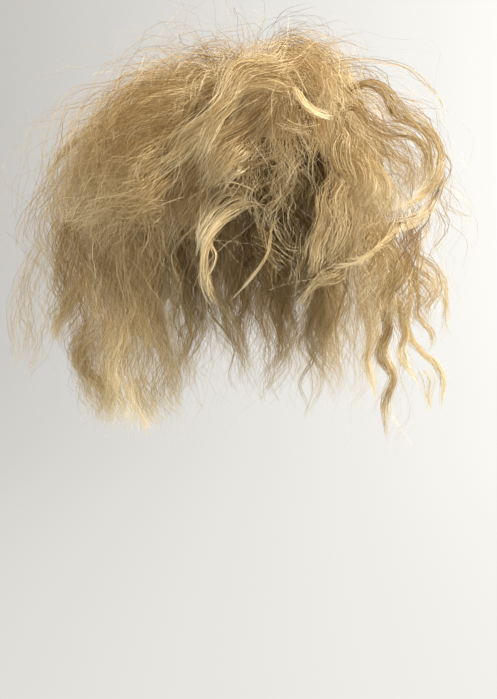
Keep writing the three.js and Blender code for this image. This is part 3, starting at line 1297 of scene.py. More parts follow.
CLOUD_HABITS = (
    Habit(Gather.CLOSE, 0.42, rings=30, apart=0.0080, drift=0.0040, crimp=0.0006, thick=0.00042, pale=0.0),
    Habit(Gather.EASY, 0.36, rings=26, apart=0.0130, drift=0.0120, crimp=0.0018, thick=0.00029, pale=0.02,
          cross=6.0),
    replace(HIGH, part=0.11, apart=0.0180, drift=0.0200, crimp=0.0022, raised=0.55),
    replace(STRAY, apart=0.0120, drift=0.0130, cross=9.0),
)

EAR_WINDOW = Opening(403, 162, 19, 22, kept=0.24)
RIGHT_OPENINGS = (
    EAR_WINDOW, Opening(385, 114, 18, 11, kept=0.42), Opening(442, 262, 18, 40, kept=0.5),
    Opening(418, 320, 32, 52, kept=0.34))
LEFT_OPENINGS = (Opening(38, 270, 24, 90, kept=0.40), Opening(76, 392, 18, 40, kept=0.5))

CROWN_FLOWS = (
    Flow("crown_sweep", (
        (306, 44, 290, 51, 272, 59, 250, 61, 236, 64, 228, 74, 223, 86, 218, 98, 209, 111, 196, 121, 183, 128,
         173, 138, 166, 150, 160, 162),
        (308, 52, 292, 60, 272, 66, 254, 68, 242, 74, 235, 86, 229, 98, 220, 110, 210, 122, 200, 132, 190,
         142, 182, 156, 176, 170),
        (306, 62, 290, 68, 270, 72, 254, 76, 246, 86, 238, 97, 228, 107, 218, 118, 211, 130, 204, 142, 196,
         155, 187, 168, 180, 182)),
        width=0.006, strands=170, mixed=0.24, over=0.013, frizz=0.0018, thick=0.00028, in_clump=6),
    Flow("crown_glint", (
        (304, 42, 292, 49, 276, 57, 258, 62, 242, 65, 232, 75, 226, 88, 218, 101),
        (305, 48, 292, 55, 276, 62, 258, 65, 243, 70, 235, 81, 229, 94, 221, 106)),
        width=0.012, strands=34, pale=Pale.WHITE, over=0.0135, frizz=0.0022, loose=0.0022, thick=0.00022,
        in_clump=2),
    Flow("crown_haze", (
        (226, 72, 240, 58, 256, 48, 272, 42, 288, 40),
        (240, 68, 256, 56, 272, 48, 290, 43, 306, 44),
        (256, 66, 272, 58, 288, 52, 306, 50, 322, 54),
        (300, 46, 316, 48, 332, 56, 344, 68, 354, 82)),
        width=0.012, strands=80, mixed=0.2, fray=1.0, frizz=0.0040, wave=0.0020, loose=0.0024, thick=0.00020,
        in_clump=2, rings=20, depths=(0.56, 0.57, 0.58, 0.58)),
    Flow("crown_right", (
        (282, 50, 298, 49, 314, 53, 328, 62, 340, 76, 350, 92, 358, 108),
        (280, 58, 296, 58, 310, 64, 322, 75, 332, 90, 338, 106, 342, 122),
        (278, 66, 292, 68, 304, 76, 314, 88, 322, 102, 328, 118, 332, 134)),
        width=0.012, strands=170, pale=Pale.SHADED, mixed=0.30, frizz=0.0042, wave=0.0026, loose=0.0020,
        thick=0.00024, in_clump=4, wild=0.3),
    Flow("crown_shaded", (
        (306, 72, 288, 70, 266, 70, 248, 76, 234, 88, 226, 102, 215, 117),
        (302, 88, 288, 83, 272, 78, 256, 81, 243, 90, 231, 101, 220, 114),
        (296, 98, 280, 92, 264, 88, 250, 92, 238, 102, 226, 113, 216, 126)),
        width=0.007, strands=170, mixed=0.20, over=0.009, frizz=0.0020, thick=0.00028),
    Flow("part_shade", (
        (276, 84, 266, 98, 258, 112, 252, 128, 250, 144, 248, 160),
        (288, 86, 280, 100, 276, 114, 272, 130, 272, 146, 270, 162),
        (298, 88, 294, 104, 294, 120, 296, 136, 300, 152, 302, 168),
        (308, 88, 310, 104, 314, 120, 318, 136, 322, 152, 324, 168),
        (318, 84, 326, 98, 332, 114, 336, 130, 338, 148, 338, 166)),
        width=0.010, strands=210, pale=Pale.DARK, mixed=0.20, over=0.004, frizz=0.0036, wave=0.0022,
        loose=0.0022, thick=0.00026, in_clump=5),
    Flow("part_cross", (
        (268, 104, 282, 112, 296, 124, 308, 138, 316, 150),
        (334, 120, 316, 128, 298, 128, 280, 122, 266, 112),
        (256, 140, 272, 132, 288, 132, 304, 138, 322, 136)),
        width=0.008, strands=34, pale=Pale.BRIGHT, mixed=0.2, over=0.009, fray=0.8, frizz=0.0020, wave=0.0010,
        loose=0.0016, thick=0.00017, in_clump=2, rings=20),
    # Painted highlight: a short streak of white strands where light catches the crown.
    Flow("crown_bright_end", (
        (284, 76, 294, 88, 302, 100, 312, 109, 324, 114, 336, 116),
        (290, 82, 300, 94, 308, 106, 318, 115, 328, 119, 334, 119)),
        width=0.002, strands=40, pale=Pale.WHITE, over=0.014, fray=0.4, thick=0.00026, in_clump=5),
    Flow("crown_inner_line", (
        (248, 96, 233, 102, 221, 112, 213, 125, 209, 140, 204, 156, 196, 170),),
        width=0.008, strands=24, pale=Pale.WHITE, over=0.013, frizz=0.0020, thick=0.00024, in_clump=4),
    Flow("amber_fall", (
        (254, 94, 240, 100, 227, 110, 217, 123, 211, 138, 207, 154, 203, 170, 196, 186),
        (262, 102, 250, 115, 239, 128, 226, 138, 216, 149, 209, 163, 205, 178, 198, 192),
        (272, 90, 264, 104, 255, 118, 246, 130, 236, 141, 227, 152, 219, 166, 212, 182, 206, 196),
        (284, 88, 276, 102, 267, 116, 257, 130, 247, 143, 238, 156, 229, 170, 220, 185, 210, 200)),
        width=0.006, strands=200, mixed=0.28, frizz=0.0024, wave=0.0024, thick=0.00028, in_clump=6, late=0.02),
    Flow("temple_fan", (
        (206, 117, 191, 123, 178, 130, 168, 140, 159, 152, 150, 163, 142, 173, 137, 186),
        (212, 112, 199, 124, 187, 134, 179, 146, 172, 160, 163, 173, 154, 186, 146, 198),
        (216, 112, 206, 128, 197, 142, 190, 156, 184, 170, 178, 185, 173, 200)),
        width=0.012, strands=90, pale=Pale.BRIGHT, mixed=0.28, fray=0.8, thick=0.00020, frizz=0.0034,
        wave=0.0026, loose=0.0020, in_clump=3, depths=(0.468, 0.470, 0.474, 0.480)),
    Flow("brow_lock", (
        (288, 147, 273, 153, 257, 159, 243, 163, 232, 166, 223, 176, 215, 188),
        (282, 156, 268, 162, 254, 168, 242, 174, 232, 184, 224, 196, 218, 206)),
        width=0.004, strands=30, pale=Pale.BRIGHT, frizz=0.0022, thick=0.00023, in_clump=4, late=0.4),
    Flow("brow_veil", (
        (290, 142, 272, 150, 256, 160, 244, 174, 236, 190, 228, 206, 222, 222),
        (282, 122, 266, 140, 256, 158, 252, 178, 254, 198, 262, 216, 266, 234),
        (292, 124, 282, 144, 272, 162, 260, 178, 250, 196, 244, 214, 240, 232),
        (270, 150, 280, 166, 286, 184, 280, 202, 272, 220, 276, 238, 284, 254),
        (300, 126, 304, 148, 296, 168, 284, 186, 280, 206, 290, 226, 298, 244),
        (316, 130, 312, 152, 302, 172, 298, 192, 306, 212, 312, 232, 306, 254)),
        width=0.014, strands=100, pale=Pale.BRIGHT, mixed=0.30, fray=0.8, thick=0.00020, frizz=0.0030,
        wave=0.0030, loose=0.0018, depths=(0.56, 0.54, 0.52, 0.51, 0.50, 0.50), in_clump=3, ragged=0.5),
    Flow("window_wisps", (
        (262, 206, 272, 222, 286, 236, 300, 244, 316, 246),
        (238, 212, 250, 232, 262, 246, 280, 256, 300, 258),
        (290, 214, 284, 234, 290, 254, 284, 274, 270, 286),
        (308, 216, 300, 236, 304, 256, 298, 276, 288, 290),
        (222, 226, 234, 246, 250, 262, 262, 280, 266, 300)),
        width=0.012, strands=40, mixed=0.3, fray=0.6, thick=0.00016, frizz=0.0030, wave=0.0030, loose=0.0020,
        depths=(0.50, 0.49, 0.49), in_clump=2),
    Flow("brow_shade", (
        (250, 150, 252, 168, 250, 184, 246, 200),
        (270, 146, 274, 164, 272, 182, 268, 200),
        (292, 148, 296, 166, 294, 184, 290, 202),
        (312, 150, 316, 168, 316, 186, 312, 204)),
        width=0.012, strands=110, pale=Pale.SHADED, mixed=0.2, fray=1.0, thick=0.00026, frizz=0.0040,
        wave=0.0024, loose=0.0028, depths=(0.585, 0.575, 0.57, 0.57), in_clump=4, rings=20),
    Flow("brow_cross", (
        (236, 150, 252, 160, 266, 176, 276, 192, 286, 206),
        (262, 136, 280, 146, 296, 154, 310, 164, 322, 178),
        (324, 150, 306, 158, 288, 166, 272, 176, 258, 190)),
        width=0.010, strands=60, pale=Pale.BRIGHT, mixed=0.22, fray=1.0, thick=0.00019, frizz=0.0034,
        wave=0.0016, loose=0.0026, depths=(0.53, 0.515, 0.505, 0.50), in_clump=2),
)
LEFT_FLOWS = (
    Flow("outline_lock", (
        (222, 92, 208, 77, 190, 75, 170, 76, 150, 80, 135, 88, 122, 97, 113, 108, 104, 122, 92, 132, 78, 140,
         65, 150, 55, 162, 50, 178, 51, 194),),
        width=0.004, strands=34, pale=Pale.SHADED, depths=(0.56, 0.56, 0.57, 0.58, 0.59, 0.60), thick=0.00026),
    Flow("outline_pale", (
        (206, 70, 184, 74, 162, 78, 140, 86, 122, 96, 110, 110, 98, 124, 84, 136, 68, 148, 56, 160, 49, 176),),
        width=0.010, strands=44, pale=Pale.BRIGHT, depths=(0.57, 0.57, 0.58, 0.59, 0.60), frizz=0.0030,
        thick=0.00022, loose=0.0020),
    Flow("left_crest", (
        (214, 84, 192, 82, 170, 83, 148, 88, 130, 98, 118, 112, 110, 128, 98, 142, 84, 155, 72, 168, 66, 184,
         62, 204, 60, 228, 58, 254, 58, 278),
        (206, 92, 186, 92, 166, 96, 146, 104, 128, 116, 114, 132, 104, 150, 94, 170, 84, 192, 76, 216, 72,
         240, 70, 266, 68, 292),
        (204, 100, 184, 106, 164, 112, 146, 120, 130, 132, 118, 148, 108, 168, 100, 190, 94, 214, 90, 240, 90,
         268, 92, 296),
        (200, 112, 180, 120, 160, 126, 144, 136, 132, 150, 124, 168, 118, 190, 114, 214, 112, 240, 112, 268,
         114, 300),
        (196, 126, 178, 136, 162, 146, 150, 158, 142, 174, 138, 194, 136, 216, 136, 240, 134, 270, 136, 300),
        (190, 142, 176, 152, 164, 164, 156, 178, 152, 196, 152, 216, 154, 238, 152, 266, 150, 292)),
        width=0.012, strands=330, pale=Pale.SHADED, mixed=0.13, over=0.003, fray=0.9, thick=0.00026,
        frizz=0.0045, wave=0.0034, loose=0.0030, in_clump=5, wild=0.38, rings=26, ragged=0.6),
    Flow("left_fall", (
        (64, 200, 58, 228, 54, 255, 54, 280, 56, 304, 52, 326, 46, 346),
        (78, 205, 72, 232, 72, 258, 76, 280, 72, 300, 62, 320, 57, 340),
        (92, 205, 86, 232, 84, 260, 88, 288, 86, 314, 78, 338, 76, 360, 84, 380, 92, 404, 96, 424),
        (112, 205, 108, 232, 104, 260, 108, 288, 110, 314, 102, 340, 98, 364, 106, 388, 110, 412, 104, 432),
        (130, 208, 128, 234, 124, 260, 128, 288, 134, 314, 132, 340, 126, 366, 130, 390, 140, 412, 150, 436),
        (150, 215, 150, 240, 144, 264, 140, 290, 146, 316, 156, 342, 158, 368, 154, 394, 160, 416, 172, 436),
        (161, 225, 163, 250, 160, 278, 156, 304, 162, 330, 172, 352, 178, 374, 180, 396, 188, 418)),
        width=0.007, strands=480, mixed=0.14, over=0.006, fray=1.0, thick=0.00026, frizz=0.0028, wave=0.0036,
        loose=0.0020, rings=26, in_clump=6, wild=0.26),
    Flow("low_veil", (
        (86, 300, 80, 322, 78, 346, 80, 368, 86, 390, 88, 412, 84, 434),
        (104, 296, 100, 320, 100, 344, 98, 368, 102, 392, 106, 416, 104, 438),
        (122, 296, 124, 320, 118, 344, 116, 368, 122, 392, 124, 416, 128, 440),
        (140, 300, 146, 322, 142, 346, 140, 370, 146, 394, 152, 418, 150, 440),
        (156, 306, 164, 328, 166, 350, 162, 372, 166, 396, 176, 416, 178, 434)),
        width=0.012, strands=230, pale=Pale.WHITE, mixed=0.22, over=0.010, fray=1.0, thick=0.00022,
        frizz=0.0036, wave=0.0040, loose=0.0026, in_clump=5, wild=0.2, rings=22),
    Flow("temple_shade", (
        (178, 128, 162, 134, 146, 144, 134, 158, 126, 176, 120, 196),
        (186, 136, 172, 146, 160, 158, 150, 172, 142, 188, 136, 206),
        (192, 148, 180, 160, 170, 174, 160, 190, 152, 206, 148, 222),
        (196, 160, 186, 174, 176, 190, 168, 206, 162, 224)),
        width=0.012, strands=110, pale=Pale.DARK, mixed=0.14, over=0.006, fray=1.0, thick=0.00027,
        frizz=0.0040, wave=0.0030, loose=0.0026, in_clump=5, wild=0.2, rings=22),
    Flow("temple_fill", (
        (202, 118, 190, 132, 176, 150, 164, 170, 156, 192, 152, 216, 152, 244),
        (212, 120, 200, 136, 188, 156, 178, 176, 170, 198, 165, 222, 164, 248),
        (222, 126, 210, 144, 198, 164, 189, 184, 182, 204, 178, 228, 178, 252),
        (230, 136, 218, 154, 208, 174, 199, 194, 193, 214, 190, 236, 190, 256)),
        width=0.012, strands=250, pale=Pale.SHADED, mixed=0.22, fray=1.0, thick=0.00028, frizz=0.0036,
        wave=0.0034, loose=0.0022, in_clump=6, wild=0.15, rings=24, ragged=0.5, depths=(0.476, 0.480, 0.484,
        0.492, 0.505, 0.52)),
    Flow("left_veil", (
        (176, 196, 156, 204, 138, 212, 122, 222, 108, 236, 98, 250),
        (168, 180, 148, 190, 128, 196, 108, 206, 90, 218, 74, 236),
        (150, 160, 132, 170, 114, 184, 96, 198, 78, 216, 60, 240)),
        width=0.018, strands=140, pale=Pale.BRIGHT, mixed=0.15, fray=1.0, thick=0.00018, frizz=0.0060,
        wave=0.0034, loose=0.0050, in_clump=2, wild=0.3),
    Flow("hook_arc", (
        (178, 142, 160, 144, 146, 150, 138, 160, 137, 174, 141, 188),
        (152, 168, 140, 172, 130, 180, 122, 192)),
        width=0.006, strands=14, pale=Pale.WHITE, thick=0.00020, in_clump=3),
    Flow("bright_wave", (
        (144, 262, 138, 284, 134, 302, 136, 318, 145, 334, 155, 350, 160, 366, 158, 382),
        (150, 280, 144, 300, 142, 316, 147, 330, 157, 344, 166, 360, 168, 378, 164, 396)),
        width=0.004, strands=44, pale=Pale.WHITE, over=0.012, thick=0.00025, in_clump=5),
    Flow("outer_curl", (
        (84, 262, 80, 284, 74, 300, 62, 312, 54, 324, 52, 338, 57, 352),
        (90, 270, 84, 292, 72, 306, 62, 318, 59, 332, 62, 346)),
        width=0.005, strands=50, pale=Pale.WHITE, depths=(0.565, 0.58, 0.59), thick=0.00024, frizz=0.0020,
        in_clump=5),
    Flow("low_curl", (
        (92, 316, 82, 336, 75, 352, 77, 366, 88, 378, 98, 388, 101, 400, 96, 414, 100, 426),
        (104, 326, 92, 346, 86, 362, 92, 374, 104, 384, 112, 396, 112, 410, 108, 424)),
        width=0.006, strands=90, pale=Pale.WHITE, mixed=0.16, over=0.016, fray=0.9, thick=0.00026,
        frizz=0.0022, in_clump=6),
    Flow("tip_fan", (
        (126, 372, 128, 388, 132, 402, 139, 414, 147, 426, 154, 436),
        (138, 368, 142, 384, 148, 398, 154, 412, 162, 426)),
        width=0.007, strands=70, pale=Pale.WHITE, over=0.010, fray=1.2, thick=0.00025, frizz=0.0022,
        in_clump=5),
    Flow("far_wisp", (
        (52, 210, 34, 244, 18, 280, 12, 310, 12, 332, 17, 344, 14, 358, 8, 370, 10, 382),
        (60, 240, 42, 268, 34, 296, 38, 318, 34, 340, 24, 360),
        (64, 300, 50, 324, 48, 348, 42, 368, 32, 384, 28, 394)),
        width=0.016, strands=66, pale=Pale.WHITE, depths=(0.60, 0.60), fray=0.8, frizz=0.0040, thick=0.00019,
        in_clump=3),
)
FRINGE_FLOWS = (
    Flow("fringe_arch", (
        (264, 204, 252, 193, 238, 184, 226, 182, 214, 187, 205, 197, 200, 212, 198, 230, 199, 248),
        (262, 206, 248, 200, 234, 194, 222, 198, 212, 208, 205, 222, 201, 238, 199, 254),
        (268, 204, 256, 205, 244, 207, 231, 213, 219, 222, 209, 234, 203, 246, 200, 260)),
        width=0.004, strands=66, pale=Pale.BRIGHT, mixed=0.26, thick=0.00025, frizz=0.0018, depths=(0.515,
        0.50, 0.49, 0.485, 0.485), in_clump=4),
    Flow("fringe_arc_line", (
        (262, 196, 250, 188, 238, 183, 227, 182, 216, 186, 208, 194),),
        width=0.001, strands=7, pale=Pale.WHITE, thick=0.00026, frizz=0.0006, loose=0.0003, wave=0.0003,
        depths=(0.505, 0.495, 0.485), wild=0.0),
    Flow("fringe_long", (
        (246, 207, 232, 213, 219, 222, 209, 233, 202, 246, 199, 260, 200, 275, 204, 290, 209, 302, 217, 312,
         226, 320),
        (240, 214, 226, 221, 216, 230, 209, 242, 206, 256, 207, 272, 212, 288, 219, 301, 232, 311)),
        width=0.002, strands=40, pale=Pale.WHITE, mixed=0.24, thick=0.00024, frizz=0.0012, depths=(0.50, 0.49,
        0.485, 0.49, 0.50), in_clump=5),
    Flow("fringe_twin", (
        (214, 222, 210, 234, 211, 246, 214, 256, 211, 268, 206, 280, 205, 294),),
        width=0.0016, strands=14, pale=Pale.WHITE, thick=0.00024, depths=(0.495, 0.485, 0.49), loose=0.0005),
    Flow("centre_lock", (
        (290, 206, 281, 217, 273, 228, 270, 242, 268, 254, 261, 266, 251, 278, 241, 288, 231, 299, 219, 309),),
        width=0.001, strands=11, pale=Pale.BRIGHT, fray=0.3, thick=0.00024, loose=0.0004, wave=0.0004,
        frizz=0.0005, depths=(0.51, 0.495, 0.49, 0.49, 0.50), wild=0.0),
    Flow("fringe_right", (
        (326, 172, 322, 186, 319, 200, 320, 214, 316, 228, 309, 242, 304, 256, 300, 268, 292, 280),
        (331, 178, 327, 192, 324, 206, 326, 220, 323, 234, 320, 248, 322, 262, 318, 274, 308, 288)),
        width=0.003, strands=60, pale=Pale.BRIGHT, mixed=0.30, thick=0.00025, frizz=0.0020, fray=1.0,
        depths=(0.52, 0.50, 0.49, 0.49, 0.50), in_clump=5),
    Flow("fringe_veil", (
        (336, 150, 334, 176, 330, 200, 324, 222, 316, 246, 306, 268),
        (352, 160, 350, 184, 346, 206, 342, 228, 336, 250, 326, 270),
        (366, 180, 362, 204, 358, 226, 352, 248, 344, 268, 332, 284)),
        width=0.014, strands=130, mixed=0.25, fray=1.0, thick=0.00020, frizz=0.0040, wave=0.0024,
        loose=0.0028, depths=(0.53, 0.51, 0.50, 0.50), in_clump=3, wild=0.2),
    Flow("cheek_sweep", (
        (400, 226, 390, 238, 378, 248, 366, 257, 352, 263, 338, 265, 324, 264),),
        width=0.003, strands=20, pale=Pale.WHITE, mixed=0.20, fray=1.2, thick=0.00021, frizz=0.0018,
        depths=(0.490, 0.482, 0.480, 0.486), in_clump=4, ragged=0.4),
    Flow("cheek_wisps", (
        (352, 270, 344, 277, 334, 279, 322, 284, 313, 292, 308, 304, 302, 318),
        (344, 266, 334, 273, 322, 277, 312, 284, 304, 294, 296, 304, 286, 310)),
        width=0.005, strands=32, pale=Pale.WHITE, mixed=0.24, fray=1.6, thick=0.00020, frizz=0.0028,
        loose=0.0018, depths=(0.486, 0.484, 0.490, 0.498), in_clump=3, ragged=0.4),
    Flow("cheek_hook", (
        (356, 256, 363, 264, 368, 274, 368, 288, 364, 302),),
        width=0.002, strands=10, pale=Pale.WHITE, thick=0.00024, depths=(0.495, 0.50, 0.51)),
)
RIGHT_FLOWS = (
    Flow("high_loop", (
        (338, 100, 345, 92, 354, 86, 366, 83, 378, 86, 388, 96, 394, 108, 402, 117, 415, 124, 428, 133, 437,
         144, 442, 158, 440, 173, 433, 187, 424, 197, 412, 205, 399, 209, 384, 211),
        (342, 102, 350, 94, 360, 90, 370, 90, 380, 96, 388, 107, 396, 117, 407, 124, 419, 131, 430, 142, 436,
         155, 435, 170, 428, 184, 418, 194, 406, 202, 394, 206)),
        width=0.010, strands=72, pale=Pale.SHADED, mixed=0.36, rings=42, thick=0.00027, in_clump=5,
        ragged=0.04, late=0.04, fray=0.2, depths=(0.51, 0.50, 0.50, 0.515, 0.525, 0.52, 0.50)),
    Flow("low_loop", (
        (336, 112, 347, 104, 358, 106, 367, 117, 378, 125, 392, 129, 408, 132, 420, 140, 428, 153, 430, 168,
         425, 183, 414, 194),
        (340, 118, 350, 112, 360, 113, 370, 122, 382, 129, 396, 134, 410, 139, 419, 149, 424, 162, 423, 176,
         415, 188)),
        width=0.007, strands=44, pale=Pale.SHADED, mixed=0.2, rings=34, thick=0.00027, in_clump=5,
        ragged=0.04, late=0.04, fray=0.2, depths=(0.505, 0.495, 0.50, 0.51, 0.52, 0.52)),
    Flow("loop_veil", (
        (356, 98, 376, 106, 394, 120, 412, 134, 426, 152, 430, 172, 420, 192, 404, 206),
        (356, 116, 374, 128, 390, 142, 404, 156, 414, 170, 412, 184, 402, 196),
        (352, 126, 366, 140, 378, 154, 390, 166, 402, 176, 406, 188, 402, 204),
        (344, 132, 354, 148, 364, 162, 376, 174, 388, 186, 394, 202, 394, 220)),
        width=0.012, strands=150, mixed=0.30, pale=Pale.SHADED, thick=0.00020, frizz=0.0036, wave=0.0034,
        loose=0.0024, depths=(0.52, 0.52, 0.53, 0.54, 0.54), in_clump=4),
    Flow("far_arc", (
        (320, 72, 333, 65, 350, 61, 370, 59, 390, 65, 410, 72, 425, 82, 436, 96, 442, 112, 446, 130, 444, 150),),
        width=0.004, strands=8, depths=(0.55, 0.56, 0.58, 0.58), thick=0.00024),
    Flow("ear_waves", (
        (330, 116, 328, 132, 332, 148, 342, 160, 354, 168, 362, 178, 366, 192, 362, 208, 364, 224),
        (346, 118, 350, 134, 352, 150, 360, 163, 371, 174, 380, 188, 384, 204, 382, 222),
        (362, 122, 364, 138, 366, 152, 370, 166, 378, 180, 386, 192, 392, 206, 392, 222)),
        width=0.010, strands=170, pale=Pale.SHADED, mixed=0.50, over=0.011, frizz=0.0020, wave=0.0052,
        loose=0.0012, thick=0.00026, in_clump=10),
    Flow("right_fall", (
        (362, 196, 358, 220, 360, 244, 364, 266, 360, 288, 362, 310, 372, 330),
        (382, 200, 378, 224, 376, 248, 380, 270, 376, 292, 380, 314, 386, 332),
        (400, 204, 396, 226, 392, 248, 394, 270, 390, 292, 396, 312, 402, 332),
        (416, 204, 410, 226, 406, 248, 410, 270, 412, 292, 410, 314, 416, 336),
        (434, 188, 426, 214, 420, 238, 428, 262, 438, 284, 442, 306, 448, 330)),
        width=0.009, strands=270, pale=Pale.SHADED, mixed=0.50, over=0.009, frizz=0.0028, wave=0.0056,
        loose=0.0014, thick=0.00028, fray=0.9, in_clump=8),
    Flow("low_arc", (
        (444, 160, 441, 176, 434, 192, 424, 204, 411, 212, 397, 215, 382, 212),
        (445, 172, 440, 188, 431, 204, 420, 218, 407, 229, 392, 237)),
        width=0.004, strands=36, pale=Pale.SHADED, mixed=0.2, depths=(0.53, 0.53, 0.52, 0.505), thick=0.00026,
        in_clump=4, ragged=0.04, late=0.1, fray=0.2),
    Flow("stray_right", (
        (430, 184, 438, 197, 450, 208, 462, 216, 474, 219),),
        width=0.002, strands=5, depths=(0.57, 0.57), thick=0.00024),
    Flow("thick_wave", (
        (386, 262, 381, 282, 380, 300, 384, 316, 385, 330, 379, 345, 378, 357, 386, 368, 391, 379, 387, 393,
         384, 408, 383, 424, 387, 436, 393, 450),
        (392, 264, 387, 284, 385, 300, 390, 316, 391, 331, 386, 345, 385, 356, 392, 368, 396, 380, 391, 394,
         388, 408, 387, 424, 390, 438)),
        width=0.0016, strands=76, mixed=0.26, over=0.012, fray=0.2, rings=40, thick=0.00027, in_clump=6),
    Flow("near_wave", (
        (366, 268, 362, 288, 366, 306, 374, 322, 377, 336, 370, 349, 367, 363, 373, 376, 376, 390, 378, 402,
         384, 414),
        (360, 262, 356, 284, 358, 304, 364, 322, 368, 340, 364, 356, 366, 372, 370, 388)),
        width=0.004, strands=66, pale=Pale.BRIGHT, mixed=0.24, rings=34, thick=0.00026, in_clump=5),
    Flow("third_wave", (
        (392, 276, 388, 292, 396, 306, 400, 322, 404, 336, 400, 350, 402, 364, 411, 378, 420, 392),),
        width=0.005, strands=50, pale=Pale.BRIGHT, over=0.010, thick=0.00028),
    Flow("fourth_wave", (
        (404, 262, 410, 280, 412, 296, 409, 312, 408, 326, 413, 340, 424, 352, 436, 361, 444, 374, 445, 390,
         441, 406, 440, 414),),
        width=0.005, strands=40, pale=Pale.BRIGHT, rings=36, depths=(0.56, 0.56, 0.57), thick=0.00026),
    Flow("fifth_wave", (
        (398, 244, 408, 262, 416, 282, 418, 300, 417, 314, 424, 324, 432, 334, 433, 346, 429, 354),),
        width=0.004, strands=34, depths=(0.56, 0.57, 0.57), thick=0.00026),
    Flow("outer_waves", (
        (410, 238, 424, 250, 436, 258, 445, 268, 448, 282, 449, 296, 452, 304),
        (414, 262, 424, 284, 436, 298, 442, 308, 441, 320, 446, 334, 454, 342)),
        width=0.004, strands=40, pale=Pale.WHITE, depths=(0.57, 0.58), thick=0.00024, frizz=0.0018),
    Flow("end_curls", (
        (428, 366, 434, 378, 433, 392, 433, 404, 434, 414),
        (400, 372, 410, 384, 418, 394, 424, 406, 418, 414)),
        width=0.002, strands=22, pale=Pale.WHITE, depths=(0.57, 0.57), thick=0.00024),
)

